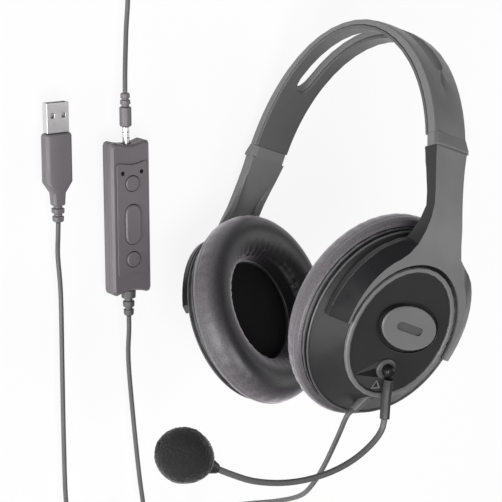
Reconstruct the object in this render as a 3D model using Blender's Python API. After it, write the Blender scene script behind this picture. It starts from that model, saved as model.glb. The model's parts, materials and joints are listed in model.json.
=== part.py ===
"""Office headset lying on its side, with its corded call controller and USB plug.

The headset is drawn upright (+X the wearer's left, -Y the wearer's front, +Z up)
under one empty, which then lays it on its right yoke and collar on the table.
The controller, the plugs and the cords lie on the table beside it. Metres.
"""
import math

import bmesh
import bpy
import numpy as np
from mathutils import Matrix, Vector

# Clearance between pieces that touch, and wall thicknesses
FIT = 0.0003
SHELL_WALL = 0.0020
ARM_WALL = 0.0026

# Ear cup: place of the trim ring's centre on the wearer's left, and the way it faces
CUP_CENTRE = Vector((0.0655, -0.0043, 0.0))
CUP_OUTWARD = Vector((0.927, -0.074, -0.367)).normalized()
CUP_UPWARD = Vector((0.372, 0.072, 0.925))
CUP_SIDES = 30

# Ear cup: half sizes are (front to back, top to bottom), depths run inward
RING_HALF = (0.0273, 0.0325)
RING_WIDTH = 0.0022
RING_DEPTH = 0.0022
PLATE_SUNK = 0.0008
DISC_HALF = (0.0158, 0.0104)
DISC_CENTRE = (0.0020, 0.0038)
DISC_PROUD = 0.0015
DISC_MOAT = 0.0021
BADGE_SLOT = (0.0150, 0.0040)
BADGE_SLOT_DEPTH = 0.0008
BADGE_SLOT_TURN = math.radians(2.0)
RIM_HALF = (0.0400, 0.0455)
RIM_DEPTH = 0.0130
RIM_STRAIGHT = 0.0022
BAFFLE_THICK = 0.0018
BAFFLE_PROUD = 0.0008
DRIVER_RADIUS = 0.0190
DRIVER_DEPTH = 0.0070
CLOTH_THICK = 0.0006
CUSHION_HALF = (0.0424, 0.0502)
CUSHION_HOLE = (0.0244, 0.0275)
CUSHION_DEPTH = 0.0165
CUSHION_TUCK = 0.0030

# Yoke and stem of the arm
YOKE_GAP = 0.0018
YOKE_PROUD = 0.0003
LEG_END = -0.0042
LEG_FACE = 0.0010
LEG_WIDTH = 0.0087
SHOULDER_FACE = 0.0050
SHOULDER_WALL = 0.0062
CREASE_TOP_ANGLE = math.radians(66.0)
STEM_HALF_WIDTH = 0.0098
STEM_FLANGE = 0.0044
STEM_DRAFT = 0.0008
STEM_FLARE = 0.0034
STEM_ADVANCE = 0.12
STEM_REAR_FLARE = 0.35
STEM_REAR_WAIST = 0.0022
STEM_FILL_FROM = 0.35
STEM_TOP_FLANGE = 0.0062
PIVOT_UP = 0.0020
PIVOT_DEPTH = 0.0065
PIN_RADIUS = 0.0010
PIN_COVER = 0.0007

# Headband arch: its outer face is half an ellipse over the two collars
ARCH_CENTRE_Z = 0.0705
ARCH_HALF_SPAN = 0.0740
ARCH_RISE = 0.0844
BAND_MIDDLE_Y = 0.0013
BAND_HALF_WIDTH_END = 0.0101
BAND_HALF_WIDTH_CROWN = 0.0125
BAND_WALL_END = 0.0056
BAND_WALL_CROWN = 0.0034
BAND_CROWNING = 0.0008
LINER_WALL = 0.0016
SLOT_END_ANGLE = math.radians(42.5)
SLOT_HALF_WIDTH = 0.0042
SLOT_ROUNDING = math.radians(6.0)
VALLEY_DEPTH = 0.0018
VALLEY_END_ANGLE = math.radians(25.0)
BAND_ROWS = 7
CROWN_ROWS = 12

# Collar at each end of the headband and the strip that slides through it
COLLAR_Z = 0.0884
COLLAR_HEIGHT = 0.0060
COLLAR_FLARE = 0.0011
SLIDE_LEAN = math.radians(17.5)
SLIDE_TRAVEL = 0.016
STRIP_HELD = 0.0085
STRIP_INSERTED = SLIDE_TRAVEL + STRIP_HELD
STRIP_TAIL = 0.014
STRIP_HALF_WIDTH = 0.0060
STRIP_THICK = 0.0012
STRIP_DEPTH = 0.0037

# Microphone boom on the left cup
HUB_AT = (0.0019, -0.0179)
HUB_RADIUS = 0.0050
HUB_FLANGE_TOP = 0.0004
HUB_DOME_RADIUS = 0.0031
HUB_PROUD = 0.0050
HUB_SHAFT_RADIUS = 0.0020
HUB_CLIP_RADIUS = 0.0036
HUB_CLIP_THICK = 0.0012
SECTOR_RADIUS = 0.0168
SECTOR_DEPTH = 0.0006
SECTOR_ANGLES = (math.radians(208.0), math.radians(318.0))
SLEEVE_RADIUS = 0.0024
SLEEVE_ROUTE = ((0.0036, -0.0222, 0.0032), (0.0066, -0.0302, 0.0040), (0.0096, -0.0387, 0.0060))
BOOM_RADIUS = 0.0015
BOOM_ROUTE = (
    (0.0571, 0.0020, -0.0389), (0.0560, 0.0022, -0.0447), (0.0544, -0.0012, -0.0518),
    (0.0524, -0.0085, -0.0601), (0.0502, -0.0184, -0.0673), (0.0478, -0.0307, -0.0730),
    (0.0455, -0.0433, -0.0764), (0.0432, -0.0562, -0.0776), (0.0414, -0.0664, -0.0766),
    (0.0400, -0.0740, -0.0753),
)
MIC_HOLDER_RADIUS = 0.0032
MIC_HOLDER_LENGTH = 0.0100
MIC_CAPSULE_RADIUS = 0.0049
MIC_CAPSULE_LENGTH = 0.0050
FOAM_RADIUS = 0.0124
FOAM_LENGTH = 0.0270
FOAM_SIDES = 18

# Rough centre of mass of the upright headset, which decides the side that it comes to rest on
LAY_BALANCE = (0.0, -0.004, 0.055)
LAY_TIPS = (5.0, 14.0, 0.05)
LAY_ROLLS = (-4.0, 4.0, 0.1)

# Cord and the gland it leaves the left cup by
CORD_RADIUS = 0.0012
GLAND_RADIUS = 0.0024
GLAND_TIP_RADIUS = 0.0019
GLAND_START = (0.0046, -0.0330, -0.0062)
GLAND_TIP = (0.0007, -0.0424, -0.0062)
GLAND_STRAIGHT = 0.0044

# Call controller, drawn lying on its back with +X toward the jack
CONTROLLER_AT = (0.0137, -0.0375)
CONTROLLER_TURN = math.radians(-159.2)
CASE_HALF = (0.0390, 0.0110)
CASE_HOLLOW_END = 0.0016
CASE_SPLIT = 0.0052
CASE_TOP = 0.0100
CASE_WALL = 0.0016
CASE_EDGE = 0.0012
PANEL_HALF = (0.0288, 0.0088)
PANEL_THICK = 0.0008
BUTTON_RADIUS = 0.0039
BUTTON_FOOT = 0.0074
BUTTON_PROUD = 0.0006
BUTTON_TRAVEL = 0.0008
MUTE_AT = 0.0181
LOWER_AT = -0.0206
ROCKER_AT = -0.0027
ROCKER_SIZE = (0.0205, 0.0088)
LIGHT_AT = (0.0236, 0.0054)
LIGHT_RADIUS = 0.0008
BOARD_HALF = (0.0270, 0.0080)
BOARD_THICK = 0.0012
SWITCH_HALF = 0.0022
SOCKET_AXIS_Z = 0.0053
SOCKET_HALF_WIDTH = 0.0045
SOCKET_SPAN = (0.0240, 0.0352)
JACK_HOLE_RADIUS = 0.0026

# Jack plug part way into the controller's socket, and the relief at the other end
JACK_PIN_RADIUS = 0.00175
JACK_PIN_FROM = 0.0315
JACK_BODY_FROM = 0.0460
JACK_PROFILE = (
    (0.0, 0.0026), (0.0006, 0.0030), (0.0096, 0.0030), (0.0100, 0.0019), (0.0110, 0.0019), (0.0111, 0.0026),
    (0.0132, 0.0025), (0.0133, 0.0018), (0.0141, 0.0018), (0.0142, 0.0024),
    (0.0164, 0.0023), (0.0168, 0.0017),
)
RELIEF_PROFILE = (
    (0.0, 0.0038), (0.0040, 0.0036), (0.0042, 0.0020), (0.0056, 0.0020), (0.0058, 0.0030), (0.0086, 0.0029),
    (0.0088, 0.0019), (0.0100, 0.0019), (0.0102, 0.0027), (0.0128, 0.0025), (0.0134, 0.0017),
)

# USB plug, drawn with +X toward its contacts
USB_AT = (-0.0161, -0.0897)
USB_TURN = math.radians(-159.4)
USB_AXIS_Z = 0.0040
USB_SHELL = (0.0150, 0.0060, 0.00225)
USB_SHELL_WALL = 0.0004
USB_HOLE = 0.0011
BOOT_SECTIONS = (
    (0.0, 0.0070, 0.0034), (-0.0012, 0.0077, 0.0040), (-0.0240, 0.0077, 0.0040), (-0.0290, 0.0042, 0.0034),
    (-0.0296, 0.0037, 0.0032), (-0.0356, 0.0033, 0.0030), (-0.0358, 0.0020, 0.0020),
    (-0.0370, 0.0020, 0.0020), (-0.0372, 0.0030, 0.0029), (-0.0396, 0.0029, 0.0028),
    (-0.0398, 0.0019, 0.0019), (-0.0410, 0.0019, 0.0019),
    (-0.0412, 0.0027, 0.0026), (-0.0436, 0.0025, 0.0025), (-0.0442, 0.0017, 0.0017),
)

# Spare length of each cord, coiled on the table: two layers that spiral in and out again
COIL_RADIUS = 0.0195
COIL_STEP = 0.0029
COIL_PINCH = 0.3
COIL_POINTS = 24
TIE_WALL = 0.0007
TIE_WIDTH = 0.0060
COIL_BASE = CORD_RADIUS + TIE_WALL + FIT * 2
HEADSET_COIL = (0.1900, 0.0770)
HEADSET_COIL_START = -90.0
HEADSET_COIL_TURNS = 1.75
HEADSET_TIE_TURN = 45.0
USB_COIL = (0.1860, 0.0155)
USB_COIL_START = 90.0
USB_COIL_TURNS = 1.463
USB_TIE_TURN = 200.0

# Free stretches of cord between the pieces, from end to end
DROP_ROUTE = (
    (0.0813, 0.0259, 0.1339), (0.0976, 0.0288, 0.1272), (0.1105, 0.0333, 0.1170),
    (0.1184, 0.0398, 0.1030), (0.1270, 0.0460, 0.0810), (0.1350, 0.0505, 0.0580), (0.1440, 0.0540, 0.0350),
    (0.1560, 0.0564, 0.0150), (0.1720, 0.0574, 0.0042), (0.1810, 0.0575, COIL_BASE),
)
RUN_ROUTE = (
    (0.2010, 0.0570, 0.0042), (0.2120, 0.0520, 0.0020), (0.2190, 0.0400, CORD_RADIUS),
    (0.2210, 0.0140, CORD_RADIUS), (0.2190, -0.0140, CORD_RADIUS), (0.2130, -0.0390, CORD_RADIUS),
    (0.1990, -0.0580, CORD_RADIUS), (0.1720, -0.0705, CORD_RADIUS), (0.1100, -0.0885, CORD_RADIUS),
    (0.0480, -0.1090, CORD_RADIUS), (-0.0120, -0.1290, CORD_RADIUS), (-0.0650, -0.1460, CORD_RADIUS),
    (-0.0960, -0.1450, CORD_RADIUS), (-0.1140, -0.1300, CORD_RADIUS), (-0.1190, -0.1080, CORD_RADIUS),
    (-0.1120, -0.0870, CORD_RADIUS), (-0.0960, -0.0740, CORD_RADIUS), (-0.0740, -0.0672, 0.0016),
    (-0.0560, -0.0630, 0.0042),
)
LEAD_ROUTE = (
    (0.0690, -0.0160, 0.0044), (0.0840, -0.0094, 0.0018), (0.1100, 0.0030, CORD_RADIUS),
    (0.1400, 0.0177, CORD_RADIUS), (0.1560, 0.0262, CORD_RADIUS), (0.1680, 0.0324, 0.0017),
    (0.1780, 0.0350, COIL_BASE),
)
TAIL_ROUTE = (
    (0.1870, -0.0075, 0.0040), (0.1760, -0.0130, 0.0018), (0.1613, -0.0208, CORD_RADIUS),
    (0.1300, -0.0330, CORD_RADIUS), (0.0950, -0.0460, CORD_RADIUS), (0.0600, -0.0590, CORD_RADIUS),
    (0.0420, -0.0672, 0.0016), (0.0320, -0.0716, 0.0034),
)


def remove_everything():
    """Clear the scene that the script starts in."""
    for thing in list(bpy.data.objects):
        bpy.data.objects.remove(thing, do_unlink=True)


def finish(name, colour, roughness, metallic=0.0):
    """One Principled material per finish."""
    material = bpy.data.materials.get(name) or bpy.data.materials.new(name)
    material.use_nodes = True
    shader = material.node_tree.nodes["Principled BSDF"]
    shader.inputs["Base Color"].default_value = (*colour, 1.0)
    shader.inputs["Roughness"].default_value = roughness
    shader.inputs["Metallic"].default_value = metallic
    return material


def finishes():
    """The finishes seen on the headset, by name."""
    return {
        "arm": finish("arm_grey", (0.160, 0.160, 0.162), 0.45),
        "trim": finish("trim_grey", (0.200, 0.200, 0.202), 0.35),
        "plate": finish("plate_black", (0.050, 0.050, 0.052), 0.25),
        "shell": finish("shell_charcoal", (0.085, 0.085, 0.087), 0.45),
        "leatherette": finish("leatherette", (0.060, 0.057, 0.062), 0.50),
        "cloth": finish("speaker_cloth", (0.015, 0.015, 0.016), 0.95),
        "steel": finish("steel", (0.620, 0.620, 0.640), 0.30, 1.0),
        "foam": finish("foam_black", (0.018, 0.018, 0.018), 0.95),
        "rubber": finish("cord_black", (0.060, 0.060, 0.062), 0.55),
        "case": finish("controller_grey", (0.140, 0.133, 0.140), 0.45),
        "nickel": finish("nickel", (0.700, 0.690, 0.670), 0.25, 1.0),
        "board": finish("circuit_board", (0.020, 0.120, 0.050), 0.55),
        "lens": finish("dark_lens", (0.012, 0.012, 0.013), 0.15),
        "tongue": finish("contact_white", (0.750, 0.750, 0.730), 0.40),
    }


def empty(name, parent=None, matrix=None):
    """A frame that pieces are placed in."""
    frame = bpy.data.objects.new(name, None)
    bpy.context.collection.objects.link(frame)
    frame.parent = parent
    frame.matrix_local = matrix or Matrix.Identity(4)
    return frame


def add(name, data, material, parent=None, at=None):
    """Link a finished mesh or curve as a named piece, with its origin at a point of its frame."""
    if isinstance(data, bpy.types.Mesh):
        if at is not None:
            data.transform(Matrix.Translation(-Vector(at)))
        data.shade_smooth()
        data.set_sharp_from_angle(angle=math.radians(38.0))
    data.materials.append(material)
    piece = bpy.data.objects.new(name, data)
    bpy.context.collection.objects.link(piece)
    piece.parent = parent
    piece.location = Vector(at) if at is not None else Vector((0.0, 0.0, 0.0))
    return piece


def mesh_of(name, points, faces):
    """A mesh with its faces turned outward."""
    shape = bmesh.new()
    corners = [shape.verts.new(point) for point in points]
    for face in faces:
        shape.faces.new([corners[index] for index in face])
    bmesh.ops.recalc_face_normals(shape, faces=shape.faces)
    mesh = bpy.data.meshes.new(name)
    shape.to_mesh(mesh)
    shape.free()
    return mesh


def loft(name, loops, closed=False):
    """Join loops of equal count into one solid, capped at both ends or closed on itself."""
    count = len(loops[0])
    points = [point for loop in loops for point in loop]
    faces = []
    last = len(loops) if closed else len(loops) - 1
    for row in range(last):
        below = row * count
        above = ((row + 1) % len(loops)) * count
        for i in range(count):
            j = (i + 1) % count
            faces.append((below + i, below + j, above + j, above + i))
    if not closed:
        faces.append(tuple(range(count)))
        faces.append(tuple(range(len(points) - count, len(points))))
    return mesh_of(name, points, faces)


def joined(name, meshes):
    """Several closed bodies in one mesh."""
    shape = bmesh.new()
    for mesh in meshes:
        shape.from_mesh(mesh)
        bpy.data.meshes.remove(mesh)
    mesh = bpy.data.meshes.new(name)
    shape.to_mesh(mesh)
    shape.free()
    return mesh


def oval(half, depth, centre=(0.0, 0.0), sides=CUP_SIDES):
    """An ellipse of points at one depth."""
    angles = [2.0 * math.pi * i / sides for i in range(sides)]
    return [Vector((centre[0] + half[0] * math.cos(a), centre[1] + half[1] * math.sin(a), depth))
            for a in angles]


def grown(half, amount):
    """Half sizes made larger all round."""
    return (half[0] + amount, half[1] + amount)


def stadium(length, width, depth, centre=(0.0, 0.0), turn=0.0, arc_points=7):
    """A slot outline with round ends, its length along the first axis before the turn."""
    radius = width / 2.0
    reach = length / 2.0 - radius
    loop = []
    for side in (0, 1):
        for i in range(arc_points):
            angle = math.pi * (side - 0.5) + math.pi * i / (arc_points - 1)
            x = (reach if side == 0 else -reach) + radius * math.cos(angle)
            y = radius * math.sin(angle)
            loop.append(Vector((centre[0] + x * math.cos(turn) - y * math.sin(turn),
                                centre[1] + x * math.sin(turn) + y * math.cos(turn), depth)))
    return loop


def turned(name, profile, start, axis, sides=16):
    """A round solid: (distance along the axis, radius) pairs from one end to the other."""
    axis = Vector(axis).normalized()
    side = axis.orthogonal().normalized()
    other = axis.cross(side)
    loops = []
    for along, radius in profile:
        middle = Vector(start) + axis * along
        loops.append([middle + (side * math.cos(a) + other * math.sin(a)) * radius
                      for a in (2.0 * math.pi * i / sides for i in range(sides))])
    return loft(name, loops)


def cutter(name, mesh, parent=None):
    """A hidden solid that others are cut by."""
    tool = bpy.data.objects.new(name, mesh)
    bpy.context.collection.objects.link(tool)
    tool.parent = parent
    tool.hide_render = True
    tool.display_type = "WIRE"
    return tool


def cut(piece, tool, operation="DIFFERENCE"):
    """Cut a piece by a tool, or join the tool to it."""
    boolean = piece.modifiers.new(tool.name, "BOOLEAN")
    boolean.operation = operation
    boolean.solver = "EXACT"
    boolean.object = tool


def smooth_route(points, steps):
    """Points on a smooth curve through the given ones (Catmull-Rom), steps to each stretch."""
    route = [Vector(point) for point in points]
    padded = [2 * route[0] - route[1]] + route + [2 * route[-1] - route[-2]]
    curve = []
    for i in range(1, len(padded) - 2):
        a, b, c, d = padded[i - 1:i + 3]
        for step in range(steps):
            t = step / steps
            curve.append(0.5 * (2 * b + (c - a) * t + (2 * a - 5 * b + 4 * c - d) * t ** 2
                                + (3 * b - a - 3 * c + d) * t ** 3))
    curve.append(route[-1])
    return curve


def tube(name, points, radius, resolution=2):
    """A round bar along points, with filled ends."""
    curve = bpy.data.curves.new(name, "CURVE")
    curve.dimensions = "3D"
    curve.bevel_depth = radius
    curve.bevel_resolution = resolution
    curve.use_fill_caps = True
    spline = curve.splines.new("POLY")
    spline.points.add(len(points) - 1)
    for target, point in zip(spline.points, points):
        target.co = (*point, 1.0)
    return curve


def thick_plate(name, surface, faces, walls, inward):
    """A plate of given wall under a surface of points; inward gives each point's own direction."""
    shape = bmesh.new()
    top = [shape.verts.new(point) for point in surface]
    for face in faces:
        shape.faces.new([top[index] for index in face])
    under = [shape.verts.new(vert.co + way * wall) for vert, way, wall in zip(top, inward, walls)]
    index_of = {vert: index for index, vert in enumerate(top)}
    skin = list(shape.faces)
    rims = [edge for edge in shape.edges if edge.is_boundary]
    for face in skin:
        shape.faces.new([under[index_of[vert]] for vert in reversed(face.verts)])
    for edge in rims:
        a, b = (index_of[vert] for vert in edge.verts)
        shape.faces.new((top[a], top[b], under[b], under[a]))
    bmesh.ops.recalc_face_normals(shape, faces=shape.faces)
    mesh = bpy.data.meshes.new(name)
    shape.to_mesh(mesh)
    shape.free()
    return mesh


def mirrored(name, mesh):
    """The same mesh for the wearer's other side."""
    copy = mesh.copy()
    copy.name = name
    copy.transform(Matrix.Diagonal((-1.0, 1.0, 1.0, 1.0)))
    copy.flip_normals()
    return copy


def cup_matrix(side):
    """Placement of a cup: first axis along the head, second up the cup, third outward."""
    out = Vector((CUP_OUTWARD.x * side, CUP_OUTWARD.y, CUP_OUTWARD.z))
    up = Vector((CUP_UPWARD.x * side, CUP_UPWARD.y, CUP_UPWARD.z))
    up = (up - out * up.dot(out)).normalized()
    along = up.cross(out)
    middle = Vector((CUP_CENTRE.x * side, CUP_CENTRE.y, CUP_CENTRE.z))
    placed = Matrix((along, up, out)).transposed().to_4x4()
    placed.translation = middle
    return placed


# Depths inside a cup, worked out once from the sizes above
FRONT_FACE = -(RING_DEPTH + FIT)
FLOOR_INSIDE = FRONT_FACE - SHELL_WALL
RIM_BACK = -(RIM_DEPTH + RIM_STRAIGHT)
BAFFLE_FRONT = RIM_BACK - FIT
BAFFLE_BACK = BAFFLE_FRONT - BAFFLE_THICK
CUSHION_FRONT = BAFFLE_BACK - FIT
PIVOT = Vector((0.0, PIVOT_UP, -PIVOT_DEPTH))
WALL_SLOPE = (RIM_DEPTH + FRONT_FACE) / (RIM_HALF[1] - RING_HALF[1])


def cup_shell(name, frame, look):
    """Back shell: flat front floor, slanted wall, straight rim, holes for the pivot pins."""
    inner_floor = grown(RING_HALF, -SHELL_WALL)
    inner_rim = grown(RIM_HALF, -SHELL_WALL)
    loops = [oval(RING_HALF, FRONT_FACE), oval(RIM_HALF, -RIM_DEPTH), oval(RIM_HALF, RIM_BACK),
             oval(inner_rim, RIM_BACK), oval(inner_rim, -RIM_DEPTH - SHELL_WALL / 2.0),
             oval(inner_floor, FLOOR_INSIDE)]
    shell = add(name, loft(name, loops), look, frame, at=PIVOT)
    holes = [turned("hole", ((RING_HALF[0] / 2.0, PIN_RADIUS + FIT), (RIM_HALF[0], PIN_RADIUS + FIT)),
                    PIVOT, (way, 0, 0), 12) for way in (-1, 1)]
    cut(shell, cutter(name + "_pin_holes", joined("holes", holes), frame))
    return shell


def cup_baffle(name, frame, look):
    """Plate that closes the cup behind the cushion."""
    wide = grown(RIM_HALF, BAFFLE_PROUD)
    return add(name, loft(name, [oval(wide, BAFFLE_FRONT), oval(wide, BAFFLE_BACK)]), look, frame, at=PIVOT)


def cup_cushion(name, frame, look):
    """Crowned ring of padding, drawn in where it meets the baffle."""
    outer = CUSHION_HALF
    hole = CUSHION_HOLE
    width = (outer[0] - hole[0], outer[1] - hole[1])
    section = ((1.0 - CUSHION_TUCK / width[0], 0.0), (0.99, 0.16), (1.0, 0.38), (0.95, 0.66), (0.80, 0.90),
               (0.56, 1.0), (0.30, 0.93), (0.08, 0.70), (0.0, 0.40), (0.05, 0.0))
    loops = []
    for across, deep in section:
        half = (hole[0] + width[0] * across, hole[1] + width[1] * across)
        loops.append(oval(half, CUSHION_FRONT - CUSHION_DEPTH * deep))
    return add(name, loft(name, loops, closed=True), look, frame, at=PIVOT)


def cup_front(side_name, frame, looks):
    """Trim ring, dark plate and raised oval disc on a cup's outer face."""
    inside = grown(RING_HALF, -RING_WIDTH)
    turn = 1 if side_name == "left" else -1
    centre = (DISC_CENTRE[0] * turn, DISC_CENTRE[1])
    ring_edge = 0.0005
    loops = [oval(RING_HALF, -RING_DEPTH), oval(RING_HALF, -ring_edge),
             oval(grown(RING_HALF, -ring_edge), 0.0),
             oval(grown(inside, ring_edge), 0.0), oval(inside, -ring_edge), oval(inside, -RING_DEPTH)]
    name = side_name + "_trim_ring"
    add(name, loft(name, loops, closed=True), looks["trim"], frame, at=PIVOT)
    plate_half = grown(inside, -FIT)
    moat = grown(DISC_HALF, DISC_MOAT)
    name = side_name + "_outer_plate"
    loops = [oval(plate_half, -RING_DEPTH), oval(plate_half, -PLATE_SUNK),
             oval(moat, -PLATE_SUNK, centre), oval(moat, -RING_DEPTH, centre)]
    plate = add(name, loft(name, loops, closed=True), looks["plate"], frame, at=PIVOT)
    edge = 0.0006
    name = side_name + "_badge_disc"
    loops = [oval(DISC_HALF, -RING_DEPTH, centre), oval(DISC_HALF, DISC_PROUD - edge, centre),
             oval(grown(DISC_HALF, -edge), DISC_PROUD, centre)]
    disc = add(name, loft(name, loops), looks["trim"], frame, at=PIVOT)
    slot = loft("slot", [stadium(*BADGE_SLOT, depth, centre, BADGE_SLOT_TURN * turn)
                         for depth in (DISC_PROUD - BADGE_SLOT_DEPTH, DISC_PROUD + FIT)])
    cut(disc, cutter(name + "_slot", slot, frame))
    return plate


def pin_reach():
    """How far a pivot pin goes along the head, to end just under the yoke's slanted face."""
    crease = RING_HALF[0] + YOKE_GAP + LEG_FACE
    return crease + (PIVOT_DEPTH - PIN_RADIUS + YOKE_PROUD) / WALL_SLOPE - PIN_COVER


def cup(side_name, frame, looks):
    """All the pieces of one ear cup that both sides share."""
    shell = cup_shell(side_name + "_cup_shell", frame, looks["shell"])
    plate = cup_front(side_name, frame, looks)
    cup_baffle(side_name + "_baffle", frame, looks["shell"])
    name = side_name + "_driver"
    profile = ((0.0, DRIVER_RADIUS), (0.0030, DRIVER_RADIUS), (0.0034, DRIVER_RADIUS * 0.6),
               (DRIVER_DEPTH, DRIVER_RADIUS * 0.6))
    driver = turned(name, profile, (0, 0, BAFFLE_FRONT + FIT), (0, 0, 1), 20)
    add(name, driver, looks["steel"], frame, at=PIVOT)
    name = side_name + "_ear_cloth"
    cloth = grown(CUSHION_HOLE, -0.0010)
    add(name, loft(name, [oval(cloth, CUSHION_FRONT), oval(cloth, CUSHION_FRONT - CLOTH_THICK)]),
        looks["cloth"], frame, at=PIVOT)
    cup_cushion(side_name + "_ear_cushion", frame, looks["leatherette"])
    wall_at = RING_HALF[0] + (PIVOT_DEPTH + FRONT_FACE) / WALL_SLOPE
    inside_wall = wall_at - SHELL_WALL * 2.5
    reach = pin_reach()
    for place, way in (("front", -1), ("rear", 1)):
        name = side_name + "_" + place + "_pivot_pin"
        profile = ((0.0, PIN_RADIUS), (reach - inside_wall, PIN_RADIUS))
        way = way if side_name == "left" else -way
        start = PIVOT + Vector((way * inside_wall, 0.0, 0.0))
        add(name, turned(name, profile, start, (way, 0, 0), 12), looks["steel"], frame, at=PIVOT)
    return shell, plate


def ease(t):
    """A smooth step from 0 to 1."""
    t = min(max(t, 0.0), 1.0)
    return t * t * (3.0 - 2.0 * t)


def stem_station(t):
    """Point on the middle of the stem's outer face, the way along the head there, and the way out."""
    place = cup_matrix(1)
    turn = place.to_3x3()
    start = place @ Vector((0.0, RING_HALF[1] + YOKE_GAP, YOKE_PROUD))
    start_way = turn @ Vector((0.0, 1.0, 0.0))
    end = Vector((arch_point(collar_angle()).x, BAND_MIDDLE_Y, COLLAR_Z - FIT))
    end_way = Vector((-math.sin(SLIDE_LEAN / 2.0), 0.0, math.cos(SLIDE_LEAN / 2.0)))
    span = (end - start).length
    point = (start * (2 * t ** 3 - 3 * t ** 2 + 1) + start_way * span * (t ** 3 - 2 * t ** 2 + t)
             + end * (3 * t ** 2 - 2 * t ** 3) + end_way * span * (t ** 3 - t ** 2))
    ahead = (start * (6 * t ** 2 - 6 * t) + start_way * span * (3 * t ** 2 - 4 * t + 1)
             + end * (6 * t - 6 * t ** 2) + end_way * span * (3 * t ** 2 - 2 * t))
    along = (turn @ Vector((1.0, 0.0, 0.0))).lerp(Vector((0.0, 1.0, 0.0)), t).normalized()
    return point, along, along.cross(ahead).normalized()


def eased(stations, joint):
    """Even out the crease and the wall where the leg's stations meet the stem's."""
    for _ in range(2):
        points = [[point.copy() for point, under in row] for row in stations]
        for i in range(joint - 2, joint + 2):
            for j in (2, 3, 4):
                even = (points[i - 1][j] + points[i][j] * 2.0 + points[i + 1][j]) / 4.0
                stations[i][j] = (even, stations[i][j][1])
    return stations


def arm_mesh(name):
    """Yoke and stem on the wearer's left: a face round the ring, a crease, and a slanted wall."""
    place = cup_matrix(1)
    inner = grown(RING_HALF, YOKE_GAP)
    leg_steps = 12
    stem_steps = 7
    stems = [stem_station(i / stem_steps) for i in range(stem_steps + 1)]
    start_angle = math.asin(LEG_END / inner[1])
    rows = []
    for side in (-1, 1):
        stations = []
        for i in range(leg_steps):
            t = i / leg_steps
            angle = start_angle + (math.pi / 2.0 - start_angle) * t
            swept = start_angle + (CREASE_TOP_ANGLE - start_angle) * t
            direction = Vector((side * math.cos(swept), math.sin(swept)))
            face = LEG_FACE + (SHOULDER_FACE - LEG_FACE) * ease(t)
            wall = LEG_WIDTH - LEG_FACE - (LEG_WIDTH - LEG_FACE - SHOULDER_WALL) * ease(t)
            edge = Vector((side * inner[0] * math.cos(angle), inner[1] * math.sin(angle)))
            crease = Vector(((inner[0] + face) * direction.x, (inner[1] + face) * direction.y))
            outer = crease + direction * wall
            drop = wall * WALL_SLOPE
            points = [Vector((*edge, YOKE_PROUD)), Vector((*edge.lerp(crease, 0.5), YOKE_PROUD)),
                      Vector((*crease, YOKE_PROUD)),
                      Vector((*crease.lerp(outer, 0.5), YOKE_PROUD - drop * 0.5)),
                      Vector((*outer, YOKE_PROUD - drop))]
            under = -(place.to_3x3() @ Vector((0.0, 0.0, 1.0)))
            slanted = under * math.hypot(1.0, WALL_SLOPE)
            stations.append(list(zip([place @ point for point in points],
                                     (under, under, under, slanted, slanted))))
        for i in range(stem_steps + 1):
            t = i / stem_steps
            middle = stems[i][0]
            point, along, out = stem_station(t + (1.0 - t) * STEM_ADVANCE)
            flare = (1.0 - ease(t * 2.0)) * (STEM_REAR_FLARE if side > 0 else 1.0)
            waist = STEM_REAR_WAIST * math.sin(math.pi * t) if side > 0 else 0.0
            filled = ease((t - STEM_FILL_FROM) / (1.0 - STEM_FILL_FROM))
            half = STEM_HALF_WIDTH + STEM_FLARE * flare - waist
            lean = STEM_DRAFT + STEM_FLARE * flare
            deep = STEM_FLANGE + STEM_FLARE * 0.4 * flare + (STEM_TOP_FLANGE - STEM_FLANGE) * filled
            full = deep + (band_wall(0.0) + FIT + LINER_WALL - STEM_TOP_FLANGE)
            points = [middle, middle.lerp(point, 0.5) + along * side * half * 0.5,
                      point + along * side * half,
                      point + along * side * (half + lean * 0.5) - out * deep * 0.5,
                      point + along * side * (half + lean) - out * deep]
            solid = [middle - out * full, points[1] - out * full,
                     point + along * side * half * 0.88 - out * full,
                     point + along * side * (half + lean) * 0.96 - out * full,
                     point + along * side * (half + lean) - out * (deep + full) / 2.0]
            slanted = -(along * side * deep + out * lean).normalized()
            hollow = (-out, -out, slanted - out * 0.7, slanted, slanted)
            under = [way.lerp((end - spot) / ARM_WALL, filled)
                     for way, end, spot in zip(hollow, solid, points)]
            stations.append(list(zip(points, under)))
        rows.append(eased(stations, leg_steps))
    surface = []
    inward = []
    index = {}
    faces = []
    for side, stations in enumerate(rows):
        for i, points in enumerate(stations):
            for j, (point, under) in enumerate(points):
                if j == 0 and i >= leg_steps and side == 1:
                    index[side, i, j] = index[0, i, 0]
                else:
                    index[side, i, j] = len(surface)
                    surface.append(point)
                    inward.append(under)
        for i in range(len(stations) - 1):
            for j in range(len(stations[0]) - 1):
                face = (index[side, i, j], index[side, i, j + 1],
                        index[side, i + 1, j + 1], index[side, i + 1, j])
                faces.append(face if side == 1 else face[::-1])
    return thick_plate(name, surface, faces, [ARM_WALL] * len(surface), inward)


def arch_point(angle):
    """Middle of the headband's outer face at an angle up from the wearer's left."""
    height = ARCH_CENTRE_Z + ARCH_RISE * math.sin(angle)
    return Vector((ARCH_HALF_SPAN * math.cos(angle), BAND_MIDDLE_Y, height))


def arch_out(angle):
    """Outward direction there."""
    return Vector((math.cos(angle) / ARCH_HALF_SPAN, 0.0, math.sin(angle) / ARCH_RISE)).normalized()


def collar_angle(above=0.0):
    """Angle at which the arch is at the collar's lower edge, or some height above it."""
    return math.asin((COLLAR_Z + above - ARCH_CENTRE_Z) / ARCH_RISE)


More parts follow.
